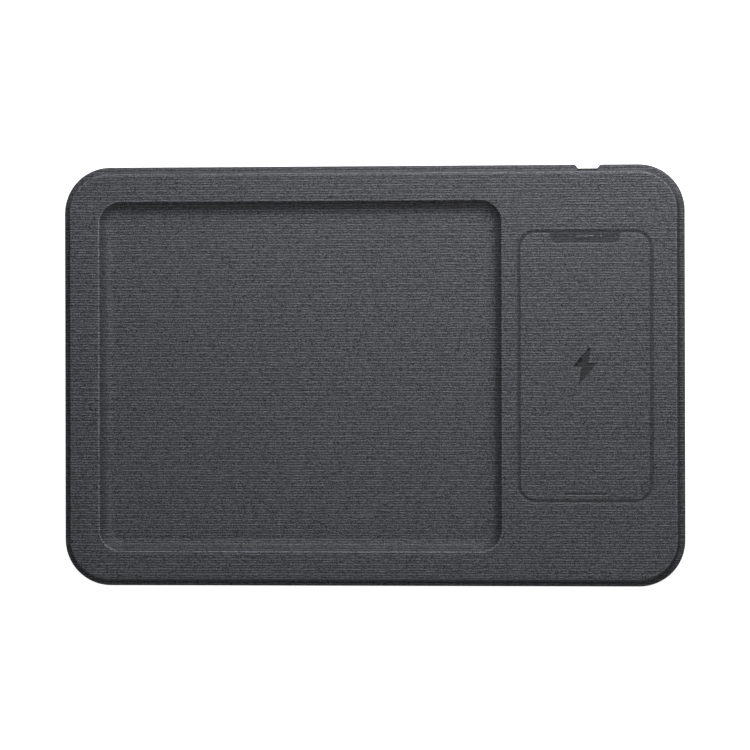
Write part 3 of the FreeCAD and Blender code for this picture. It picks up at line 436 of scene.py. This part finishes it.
def join_rings(skin, rings, weaves=None, inward=False):
    """Bridges a run of rings; inward says that each ring lies inside the one before it."""
    for i in range(len(rings) - 1):
        a, b = (rings[i + 1], rings[i]) if inward else (rings[i], rings[i + 1])
        if weaves is None:
            skin.bridge(a, b)
        else:
            wa, wb = (weaves[i + 1], weaves[i]) if inward else (weaves[i], weaves[i + 1])
            skin.bridge(a, b, wa, wb)


def outer_profile(distance=0.0):
    """From the plateau, over the top edge, down the sloped wall and in under the foam."""
    top_inset = INSET + (TOP_Z - SEAM_Z) * math.tan(DRAFT)
    points = [(inset, TOP_Z, 0) for inset in PLATEAU_INSETS]
    points += [
        (top_inset, TOP_Z, TOP_ROUND),
        (INSET, SEAM_Z, FOOT_ROUND),
        (INSET + BODY_MARGIN, SEAM_Z, 0),
    ]
    return profile(points, distance)


def tray_profile(distance=0.0):
    """From the plateau, over the lip and down the recess wall to its floor."""
    run = (TOP_Z - FLOOR_Z) * math.tan(TRAY_SLOPE)
    points = [
        (-LIP_FLAT, TOP_Z, 0),
        (0.0, TOP_Z, LIP_ROUND),
        (run, FLOOR_Z, FLOOR_ROUND),
        (run + FLOOR_FLAT, FLOOR_Z, 0),
    ]
    return profile(points, distance, math.radians(8))


def pressed_profile(depth=MARK_DEPTH, edge=EDGE, base=0.0):
    """The soft edge of a mark pressed into the leather, as (inset, height) from outside to inside."""
    line = [(-OUTER_FLAT * edge, 0.0)]
    for k in range(EDGE_STEPS + 1):
        share = k / EDGE_STEPS
        line.append(((share - 0.5) * 2 * edge, -depth * (0.5 - 0.5 * math.cos(math.pi * share))))
    line.append((INNER_FLAT * edge, -depth))
    return [(inset, TOP_Z + base + height) for inset, height in line]


def phone_rectangle(grown):
    """Corners of the phone outline, grown by so much in width and length."""
    width, length = PHONE_WIDTH + grown, PHONE_LENGTH + grown
    return rounded_rectangle(MARK_X, MARK_Y, width, length, PHONE_CORNER + grown / 2)


def screen_corners():
    """Inner edge of the groove, which dips round the camera notch at the rear."""
    corners = phone_rectangle(-GROOVE)
    rear = MARK_Y + (PHONE_LENGTH - GROOVE) / 2
    drop = rear + GROOVE - CAMERA_DROP
    half = CAMERA_WIDTH / 2
    narrow = half - CAMERA_SLANT
    notch = [
        (MARK_X + half, rear, CAMERA_FLARE),
        (MARK_X + narrow, drop, CAMERA_CORNER),
        (MARK_X - narrow, drop, CAMERA_CORNER),
        (MARK_X - half, rear, CAMERA_FLARE),
    ]
    return corners[:1] + notch + corners[1:]


def bolt_corners():
    return [(MARK_X + x * BOLT_SIZE, MARK_Y + y * BOLT_SIZE, BOLT_CORNER) for x, y in BOLT]


def pressed_rings(skin, corners, steps, line, pressed):
    """Rings down the edge of a mark; the tone follows the depth."""
    top = line[0][1]
    depth = top - line[-1][1]
    tones = [pressed * (top - height) / depth for _, height in line]
    rings = rings_along(skin, corners, steps, line, tones)
    join_rings(skin, rings, inward=True)
    return rings


def make_marks(skin):
    """The phone outline with its camera notch, bolt and short bar. Returns their outermost ring."""
    outer_corners = phone_rectangle(GROOVE)
    steps = steps_of(outer_corners, spacing=3.0)
    outer = pressed_rings(skin, outer_corners, steps, pressed_profile(edge=OUTER_EDGE), 1.0)

    inner_corners = screen_corners()
    steps = steps_of(inner_corners, spacing=3.0, arc_step=math.radians(10))
    inner_line = [(-inset, height) for inset, height in reversed(pressed_profile())]
    tones = [(TOP_Z - height) / MARK_DEPTH for _, height in inner_line]
    inner = rings_along(skin, inner_corners, steps, inner_line, tones)
    join_rings(skin, inner, inward=True)

    islands = []
    speaker_y = MARK_Y + (PHONE_LENGTH + GROOVE) / 2 - SPEAKER_DROP
    bump = pressed_profile(-RAISED, RAISED_EDGE, -MARK_DEPTH)
    # the raised bar and lens dot go from the dark of the pressed floor at their foot to lighter than plain
    # leather on top, a painted highlight
    tones = [1 - RAISED_PAINTED_HIGHLIGHT * (height - bump[0][1]) / RAISED for _, height in bump]
    for x, width, height in ((MARK_X, *SPEAKER), (MARK_X + LENS_OFFSET, 2 * LENS_RADIUS, 2 * LENS_RADIUS)):
        corners = round_ended(x, speaker_y, width, height)
        steps = steps_of(corners, spacing=1.0, arc_step=math.radians(20))
        rings = rings_along(skin, corners, steps, bump, tones)
        join_rings(skin, rings, inward=True)
        skin.flat(rings[-1], spacing=1.0, pressed=tones[-1])
        islands.append(rings[0])
    skin.flat(outer[-1], [inner[0], *islands], spacing=2.5, pressed=1.0)

    holes = []
    home_y = MARK_Y - PHONE_LENGTH / 2 + HOME_RISE
    home = round_ended(MARK_X, home_y, *HOME)
    marks = ((bolt_corners(), MARK_DEPTH, BOLT_EDGE, BOLT_TONE), (home, HOME_DEPTH, HOME_EDGE, HOME_TONE))
    for corners, depth, edge, tone in marks:
        steps = steps_of(corners, spacing=1.5, arc_step=math.radians(14))
        rings = pressed_rings(skin, corners, steps, pressed_profile(depth, edge), tone)
        skin.flat(rings[-1], spacing=1.6, pressed=tone)
        holes.append(rings[0])
    skin.flat(inner[-1], holes, spacing=4.0)
    return outer[0]


def make_top_skin():
    """The skin of the raised body: plateau, recess, marks and wall, with the margin turned in under it."""
    skin = Skin()
    rim = rounded_rectangle(0, 0, LENGTH, DEPTH, RIM_CORNER)
    rim_steps = steps_of(rim, spacing=4.0, arc_step=math.radians(4))
    tray = rounded_rectangle(TRAY_X, TRAY_Y, TRAY_LENGTH, TRAY_WIDTH, TRAY_CORNER)
    tray_steps = steps_of(tray, spacing=3.5, arc_step=math.radians(5))

    wall, weaves = slope_rings(skin, rim, rim_steps, outer_profile())
    join_rings(skin, wall, weaves)
    line = tray_profile()
    lip = rings_along(skin, tray, tray_steps, line, painted_highlight_and_shade(line))
    join_rings(skin, lip, inward=True)
    skin.flat(lip[-1], spacing=5.0)
    skin.flat(wall[0], [lip[0], make_marks(skin)], spacing=4.5)

    inner_wall = rings_along(skin, rim, rim_steps, outer_profile(SKIN)[1:])
    join_rings(skin, inner_wall, inward=True)
    inner_lip = rings_along(skin, tray, tray_steps, tray_profile(-SKIN)[1:])
    join_rings(skin, inner_lip)
    skin.flat(inner_lip[-1], spacing=12.0, up=False)
    skin.flat(inner_wall[0], [inner_lip[0]], spacing=12.0, up=False)
    skin.bridge(wall[-1], inner_wall[-1])
    clear_case(skin, wall[-1], inner_wall[-1])
    return skin


def clear_case(skin, *rings):
    """Cuts the turned-in margin back where the charging module reaches under it."""
    for n in (n for ring in rings for n in ring):
        x, y, z = skin.points[n]
        if y > 0 and CASE_LOW[0] - CASE_ROOM < x < CASE_HIGH[0] + CASE_ROOM:
            skin.points[n] = (x, max(y, CASE_HIGH[1] + CASE_GAP), z)


# ---- the base skin


def rim_corners(depth):
    """The base outline with its plug notch, cut in by a depth."""
    corners = rounded_rectangle(0, 0, LENGTH, DEPTH, RIM_CORNER)
    rear = DEPTH / 2
    notch = [
        (PORT_X + NOTCH_MOUTH / 2, rear, NOTCH_LIP),
        (PORT_X + NOTCH_FLOOR / 2, rear - depth, NOTCH_ROUND),
        (PORT_X - NOTCH_FLOOR / 2, rear - depth, NOTCH_ROUND),
        (PORT_X - NOTCH_MOUTH / 2, rear, NOTCH_LIP),
    ]
    return corners[:1] + notch + corners[1:]


def make_base_skin():
    """The skin of the thin base: underside, rim with the plug notch, and the margin glued in on top."""
    skin = Skin()
    rim = rim_corners(INSET)
    steps = steps_of(rim, spacing=4.0, arc_step=math.radians(4))
    ledge = INSET + BASE_LEDGE
    rounds = [(ledge, SEAM_Z, 0), (0, SEAM_Z, RIM_ROUND), (0, UNDER_Z, RIM_ROUND), (ledge, UNDER_Z, 0)]
    outer, weaves = slope_rings(skin, rim, steps, profile(rounds))
    join_rings(skin, outer, weaves)
    inner = rings_along(skin, rim, steps, profile(rounds, SKIN))
    join_rings(skin, inner, inward=True)

    end = traced(moved(rim_corners(SMALLEST), BASE_MARGIN), steps)
    margin = [skin.ring(end, SEAM_Z), skin.ring(end, SEAM_Z - SKIN)]
    skin.bridge(margin[0], outer[0])
    skin.bridge(margin[1], margin[0])
    skin.bridge(inner[0], margin[1])
    skin.flat(outer[-1], spacing=9.0, up=False)
    skin.flat(inner[-1], spacing=14.0)
    clear_case(skin, *margin)
    return skin


# ---- finishing a piece


def cut_port(thing):
    """Opens the rear wall round the neck of the inlet's frame."""
    width, height = PORT_HOLE
    corners = rounded_rectangle(PORT_X, PORT_Z, width, height, height / 3)
    outline = traced(corners, steps_of(corners, spacing=2.0, arc_step=math.radians(15)))
    mesh = bpy.data.meshes.new("port_cutter")
    made = bmesh.new()
    near = [made.verts.new((x * MM, (DEPTH / 2 + PORT_OUTSIDE) * MM, z * MM)) for x, z in outline]
    far = [made.verts.new((x * MM, (DEPTH / 2 - PORT_INSIDE) * MM, z * MM)) for x, z in outline]
    made.faces.new(near)
    made.faces.new(reversed(far))
    for i in range(len(near)):
        j = (i + 1) % len(near)
        made.faces.new((near[j], near[i], far[i], far[j]))
    bmesh.ops.recalc_face_normals(made, faces=made.faces)
    made.to_mesh(mesh)
    made.free()
    cutter = bpy.data.objects.new("port_cutter", mesh)
    bpy.context.scene.collection.objects.link(cutter)
    cut = thing.modifiers.new("port", "BOOLEAN")
    cut.operation = "DIFFERENCE"
    cut.solver = "EXACT"
    cut.object = cutter
    bpy.context.view_layer.update()
    whole = bpy.data.meshes.new_from_object(thing.evaluated_get(bpy.context.evaluated_depsgraph_get()))
    thing.modifiers.clear()
    thing.data = whole
    bpy.data.objects.remove(cutter)


def smooth(thing, sharp=math.radians(50)):
    """Smooth shading, broken only where faces meet at a sharp angle."""
    made = bmesh.new()
    made.from_mesh(thing.data)
    for face in made.faces:
        face.smooth = True
    for edge in made.edges:
        edge.smooth = len(edge.link_faces) != 2 or edge.calc_face_angle(0) < sharp
    made.to_mesh(thing.data)
    made.free()


# ---- materials


class Nodes:
    """Short ways to add and join the nodes of one material."""

    def __init__(self, name, roughness=0.5, metallic=0.0, specular=0.5):
        self.material = bpy.data.materials.new(name)
        self.material.use_nodes = True
        self.tree = self.material.node_tree
        self.shader = self.tree.nodes["Principled BSDF"]
        self.shader.inputs["Roughness"].default_value = roughness
        self.shader.inputs["Metallic"].default_value = metallic
        self.shader.inputs["Specular IOR Level"].default_value = specular

    def add(self, kind, inputs=(), **settings):
        """Adds a node; an input is a value, or a socket to link from."""
        node = self.tree.nodes.new(kind)
        for key, value in settings.items():
            setattr(node, key, value)
        for key, value in dict(inputs).items():
            if isinstance(value, bpy.types.NodeSocket):
                self.tree.links.new(value, node.inputs[key])
            else:
                node.inputs[key].default_value = value
        return node

    def math(self, operation, *values):
        node = self.tree.nodes.new("ShaderNodeMath")
        node.operation = operation
        for socket, value in zip(node.inputs, values):
            if isinstance(value, bpy.types.NodeSocket):
                self.tree.links.new(value, socket)
            else:
                socket.default_value = value
        return node.outputs[0]

    def span(self, value, low, high, to_low, to_high):
        """Maps low to high onto to_low to to_high."""
        inputs = {"Value": value, "From Min": low, "From Max": high, "To Min": to_low, "To Max": to_high}
        return self.add("ShaderNodeMapRange", inputs).outputs["Result"]

    def place(self, x, y, z=0.0):
        return self.add("ShaderNodeCombineXYZ", {"X": x, "Y": y, "Z": z}).outputs["Vector"]

    def noise(self, place, scale, detail=2.0, rough=0.5):
        inputs = {"Vector": place, "Scale": scale, "Detail": detail, "Roughness": rough}
        return self.add("ShaderNodeTexNoise", inputs).outputs["Fac"]

    def ramp(self, value, low_stop, high_stop):
        """Colour between two stops of (place, colour)."""
        node = self.add("ShaderNodeValToRGB", {"Fac": value})
        for element, (place, colour) in zip(node.color_ramp.elements, (low_stop, high_stop)):
            element.position = place
            element.color = (*colour, 1)
        return node.outputs["Color"]

    def bump(self, height, distance):
        inputs = {"Height": height, "Distance": distance, "Strength": 1.0}
        return self.add("ShaderNodeBump", inputs).outputs["Normal"]

    def finish(self, colour, normal, roughness):
        for key, value in (("Base Color", colour), ("Normal", normal), ("Roughness", roughness)):
            self.tree.links.new(value, self.shader.inputs[key])
        return self.material


# the leather: pitch of its threads and size of its pebbles in millimetres, its plain colour, and the
# brightest and darkest it gets
THREAD = 1.31
PEBBLE = 0.34
LEATHER = (0.0475, 0.0493, 0.0556)
BRIGHTEST = 3.4
DARKEST = (0.004, 0.004, 0.0045)

# how far the threads wander, how unlike each other they are, and how fine their slubs and dashes are;
# a thread is SLUB_DEPTH deep where its slub noise is in SLUB_RANGE
DRIFT = 0.9
DRIFT_SCALE = 0.06
OWN_PLACE = 17.37
SLUB_SCALE = 0.27
SLUB_RANGE = (0.35, 0.65)
SLUB_DEPTH = (-0.2, 1.5)
DASH_SCALE = (0.3, 1.9)

# what each part of the grain does to the tone, to the relief and to the roughness
THREAD_MEAN = 0.64
THREAD_TONE = 2.9
DASH_TONE = 1.5
PAIR_TONE = 0.45
PEBBLE_TONE = 3.0
PRESSED_TONE = -0.55
DASH_HEIGHT = 0.6
PEBBLE_HEIGHT = 0.25
PRESSED_HEIGHT = 0.5
RELIEF = 0.10
GLOSS_RANGE = (0.3, 1.7)
GLOSS = (0.70, 0.56)


def leather():
    """Charcoal leather pressed with a linen grain: rows of slubby threads over fine pebbles."""
    n = Nodes("linen_leather", roughness=0.6, specular=0.5)
    weave = n.add("ShaderNodeUVMap", uv_map="weave").outputs["UV"]
    split = n.add("ShaderNodeSeparateXYZ", {"Vector": weave})
    u, v = split.outputs["X"], split.outputs["Y"]
    drift = n.noise(n.place(u, v), DRIFT_SCALE, detail=3)
    v = n.math("MULTIPLY_ADD", n.math("SUBTRACT", drift, 0.5), DRIFT, v)

    rows = n.math("DIVIDE", v, THREAD)
    row = n.math("FLOOR", rows)
    own = n.math("MULTIPLY", row, OWN_PLACE)
    slub = n.noise(n.place(n.math("MULTIPLY_ADD", u, SLUB_SCALE, own), own), scale=1.0, rough=0.6)
    dash_u = n.math("MULTIPLY_ADD", u, DASH_SCALE[0], own)
    dash = n.noise(n.place(dash_u, n.math("MULTIPLY", v, DASH_SCALE[1])), scale=1.0, rough=0.7)
    pair = n.math("PINGPONG", row, 1.0)
    thread = n.math("SINE", n.math("MULTIPLY", n.math("FRACT", rows), math.pi))
    depth = n.span(slub, *SLUB_RANGE, *SLUB_DEPTH)
    cell = n.add("ShaderNodeTexVoronoi", {"Vector": n.place(u, v), "Scale": 1 / PEBBLE}).outputs["Color"]
    pebble = n.add("ShaderNodeSeparateColor", {"Color": cell}).outputs["Red"]

    above_mean = n.math("MULTIPLY", n.math("SUBTRACT", thread, THREAD_MEAN), depth)
    tone = n.math("MULTIPLY_ADD", above_mean, THREAD_TONE, 1.0)
    for part, weight in ((dash, DASH_TONE), (pair, PAIR_TONE), (pebble, PEBBLE_TONE)):
        tone = n.math("MULTIPLY_ADD", n.math("SUBTRACT", part, 0.5), weight, tone)
    # pressed tone: the dark of pressed marks, plus painted highlight on the edges and painted shade down
    # the recess wall
    pressed = n.add("ShaderNodeAttribute", attribute_name="pressed").outputs["Fac"]
    tone = n.math("MULTIPLY", tone, n.math("MULTIPLY_ADD", pressed, PRESSED_TONE, 1.0))
    brightest = [c * BRIGHTEST for c in LEATHER]
    colour = n.ramp(n.math("DIVIDE", tone, BRIGHTEST), (0.0, DARKEST), (1.0, brightest))

    height = n.math("MULTIPLY", thread, depth)
    height = n.math("MULTIPLY_ADD", dash, DASH_HEIGHT, height)
    height = n.math("MULTIPLY_ADD", pebble, PEBBLE_HEIGHT, height)
    height = n.math("MULTIPLY", height, n.span(pressed, 0, 1, 1.0, PRESSED_HEIGHT))
    normal = n.bump(height, RELIEF * MM)
    roughness = n.span(tone, *GLOSS_RANGE, *GLOSS)
    return n.finish(colour, normal, roughness)


# a moulded finish: size of its clouds in millimetres, the span of noise that counts, the share of the
# fine grain in the tone, and how much tone and gloss change
CLOUD = 12.0
CLOUD_RANGE = (0.3, 0.7)
GRAIN_SHARE = 0.4
TONE_CHANGE = 0.12
GLOSS_CHANGE = 0.06


def moulded(name, colour, roughness, grain=0.25, depth=0.006, metallic=0.0):
    """A fine-grained plain finish: tone and gloss vary a little over a broad scale. The size and depth
    of its grain are in millimetres."""
    n = Nodes(name, roughness, metallic)
    where = n.add("ShaderNodeTexCoord").outputs["Object"]
    cloud = n.noise(where, 1 / (CLOUD * MM), detail=3)
    grain_field = n.noise(where, 1 / (grain * MM), rough=0.6)
    low = [c * (1 - TONE_CHANGE) for c in colour]
    high = [c * (1 + TONE_CHANGE) for c in colour]
    shade = n.math("MULTIPLY_ADD", grain_field, GRAIN_SHARE, n.math("MULTIPLY", cloud, 1 - GRAIN_SHARE))
    tone = n.ramp(shade, (CLOUD_RANGE[0], low), (CLOUD_RANGE[1], high))
    gloss = n.span(cloud, *CLOUD_RANGE, roughness - GLOSS_CHANGE, roughness + GLOSS_CHANGE)
    return n.finish(tone, n.bump(grain_field, depth * MM), gloss)


def cover_nodes(names, material):
    """Gives CAD nodes a material of their own."""
    for name in names:
        mesh = frame["nodes"][name].data
        mesh.materials.clear()
        mesh.materials.append(material)


# ---- the pieces and what they are made of

skins = {}
for name, maker in (("top_cover", make_top_skin), ("base_cover", make_base_skin)):
    built = maker()
    if name == "top_cover":
        built.wave(SWELL, SWELL_SIZE, *SWELL_REACH)
    skins[name] = built.object(name + "_skin")
cut_port(skins["top_cover"])
linen = leather()
for name, thing in skins.items():
    smooth(thing)
    thing.data.materials.clear()
    thing.data.materials.append(linen)
    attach(thing, "root")
    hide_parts(name)

FEET = [f"foot_{row}_{column}" for row in ("front", "rear") for column in ("left", "middle", "right")]
FINISHES = (
    (FEET, moulded("silicone", (0.045, 0.045, 0.047), 0.62, 0.18, 0.01)),
    (["tray_core"], moulded("foam", (0.030, 0.030, 0.032), 0.85, 0.4, 0.05)),
    (["base_board"], moulded("fibreboard", (0.23, 0.19, 0.15), 0.8, 0.5, 0.02)),
    (["filler_card"], moulded("card", (0.42, 0.40, 0.36), 0.85, 0.3, 0.01)),
    (["mounting_tape"], moulded("foam_tape", (0.55, 0.55, 0.53), 0.7)),
    (["charger_case_base", "charger_case_lid"],
     moulded("black_plastic", (0.022, 0.022, 0.024), 0.5, 0.2, 0.01)),
    (["port_bezel"], moulded("bezel_plastic", (0.016, 0.016, 0.017), 0.38, 0.15, 0.006)),
    (["case_screws", "board_screws"],
     moulded("black_steel", (0.10, 0.10, 0.105), 0.36, 0.1, 0.002, metallic=1.0)),
    (["usb_c_shell"], moulded("nickel_steel", (0.56, 0.55, 0.53), 0.28, 0.1, 0.001, metallic=1.0)),
    (["usb_c_tongue"], moulded("connector_plastic", (0.02, 0.02, 0.02), 0.45)),
    (["usb_c_contacts"], moulded("gold", (0.75, 0.52, 0.20), 0.25, 0.1, 0.001, metallic=1.0)),
    (["coil_carrier"], moulded("seat_plastic", (0.60, 0.60, 0.58), 0.5)),
    (["ferrite_shield"], moulded("ferrite", (0.035, 0.033, 0.033), 0.55, 0.15, 0.004)),
    (["ferrite_adhesive"], moulded("film", (0.30, 0.30, 0.28), 0.4)),
    (["charging_coil", "coil_leads"],
     moulded("copper_enamel", (0.62, 0.24, 0.09), 0.3, 0.3, 0.002, metallic=0.9)),
    (["thermistor"], moulded("epoxy_bead", (0.02, 0.02, 0.022), 0.35)),
    (["thermistor_leads"], moulded("lead_wire", (0.55, 0.08, 0.06), 0.5)),
    (["thermal_pad"], moulded("thermal_silicone", (0.30, 0.36, 0.42), 0.75)),
    (["circuit_board"], moulded("board_laminate", (0.015, 0.10, 0.045), 0.42, 0.25, 0.003)),
    (["control_chip", "power_chips"], moulded("chip_epoxy", (0.018, 0.018, 0.019), 0.55, 0.08, 0.003)),
    (["resonant_capacitors", "chip_capacitors"], moulded("capacitor_ceramic", (0.34, 0.24, 0.15), 0.45)),
    (["bulk_capacitors"], moulded("capacitor_polymer", (0.60, 0.60, 0.61), 0.35, metallic=0.6)),
    (["chip_resistors"], moulded("resistor_ceramic", (0.03, 0.03, 0.035), 0.4)),
    (["power_inductor"], moulded("inductor_ferrite", (0.08, 0.08, 0.085), 0.6, 0.15, 0.005)),
    (["crystal"], moulded("crystal_can", (0.62, 0.62, 0.60), 0.3, 0.1, 0.001, metallic=1.0)),
)
for names, material in FINISHES:
    cover_nodes(names, material)


# ---- floor, light and camera

FLOOR_WHITE = 0.92
FLOOR_GLOW = 0.85
WORLD_LIGHT = 0.13

# where the camera looks, from the middle of the tray, and its focal length, in millimetres
LOOKED_AT = (1.32, 0.47)
FOCAL_LENGTH = 194.67


def make_floor(side=6.0, gap=0.05 * MM):
    """A pale floor just under the feet, so that the two never share a plane."""
    mesh = bpy.data.meshes.new("floor")
    half = side / 2
    corners = [(-half, -half, -gap), (half, -half, -gap), (half, half, -gap), (-half, half, -gap)]
    mesh.from_pydata(corners, [], [(0, 1, 2, 3)])
    floor = bpy.data.objects.new("floor", mesh)
    bpy.context.scene.collection.objects.link(floor)
    n = Nodes("floor_white", roughness=0.9, specular=0.1)
    n.shader.inputs["Base Color"].default_value = (FLOOR_WHITE, FLOOR_WHITE, FLOOR_WHITE, 1)
    n.shader.inputs["Emission Color"].default_value = (1, 1, 1, 1)
    n.shader.inputs["Emission Strength"].default_value = FLOOR_GLOW
    mesh.materials.append(n.material)
    floor.visible_diffuse = False
    floor.visible_glossy = False


def aim(thing, place, target, up=Vector((0, 1, 0))):
    """Puts a camera or lamp at a place, looking at the target, its top towards up."""
    back = (Vector(place) - Vector(target)).normalized()
    right = up.cross(back).normalized()
    turned = Matrix((right, back.cross(right), back)).transposed().to_4x4()
    thing.matrix_world = Matrix.Translation(place) @ turned
    bpy.context.scene.collection.objects.link(thing)


# name, (azimuth from +X and elevation in degrees, distance in metres), diameter in metres, watts
LAMPS = (
    ("key_light", (55, 26, 0.66), 0.36, 2.45),
    ("rear_light", (93, 31, 0.66), 0.30, 2.1),
    ("top_light", (72, 60, 0.62), 0.5, 1.1),
    ("front_light", (270, 25, 1.0), 0.4, 1.9),
)


def make_lamp(name, azimuth, elevation, distance, size, power):
    """A round soft light that looks at the middle of the tray."""
    lamp = bpy.data.lights.new(name, "AREA")
    lamp.shape = "DISK"
    lamp.size = size
    lamp.energy = power
    level = Vector((math.cos(azimuth), math.sin(azimuth), 0)) * math.cos(elevation)
    place = distance * (level + Vector((0, 0, math.sin(elevation))))
    aim(bpy.data.objects.new(name, lamp), place, Vector((0, 0, 0)))


def make_world(strength):
    """An even white light from all round."""
    world = bpy.data.worlds.new("soft_white")
    world.use_nodes = True
    background = world.node_tree.nodes["Background"]
    background.inputs["Color"].default_value = (1, 1, 1, 1)
    background.inputs["Strength"].default_value = strength
    bpy.context.scene.world = world


def make_camera(distance=2.16, lean=math.radians(5.2), roll=math.radians(0.12)):
    """Nearly overhead, leaning a little to the right."""
    target = Vector((*LOOKED_AT, (UNDER_Z + TOP_Z) / 2)) * MM
    camera = bpy.data.cameras.new("camera")
    camera.sensor_width = 36
    camera.lens = FOCAL_LENGTH
    camera.clip_end = 20
    place = target + distance * Vector((math.sin(lean), 0, math.cos(lean)))
    thing = bpy.data.objects.new("camera", camera)
    aim(thing, place, target, Vector((math.sin(roll), math.cos(roll), 0)))
    bpy.context.scene.camera = thing


make_floor()
for name, (azimuth, elevation, distance), size, power in LAMPS:
    make_lamp(name, math.radians(azimuth), math.radians(elevation), distance, size, power)
make_world(WORLD_LIGHT)
make_camera()
bpy.context.scene.view_settings.view_transform = "Standard"
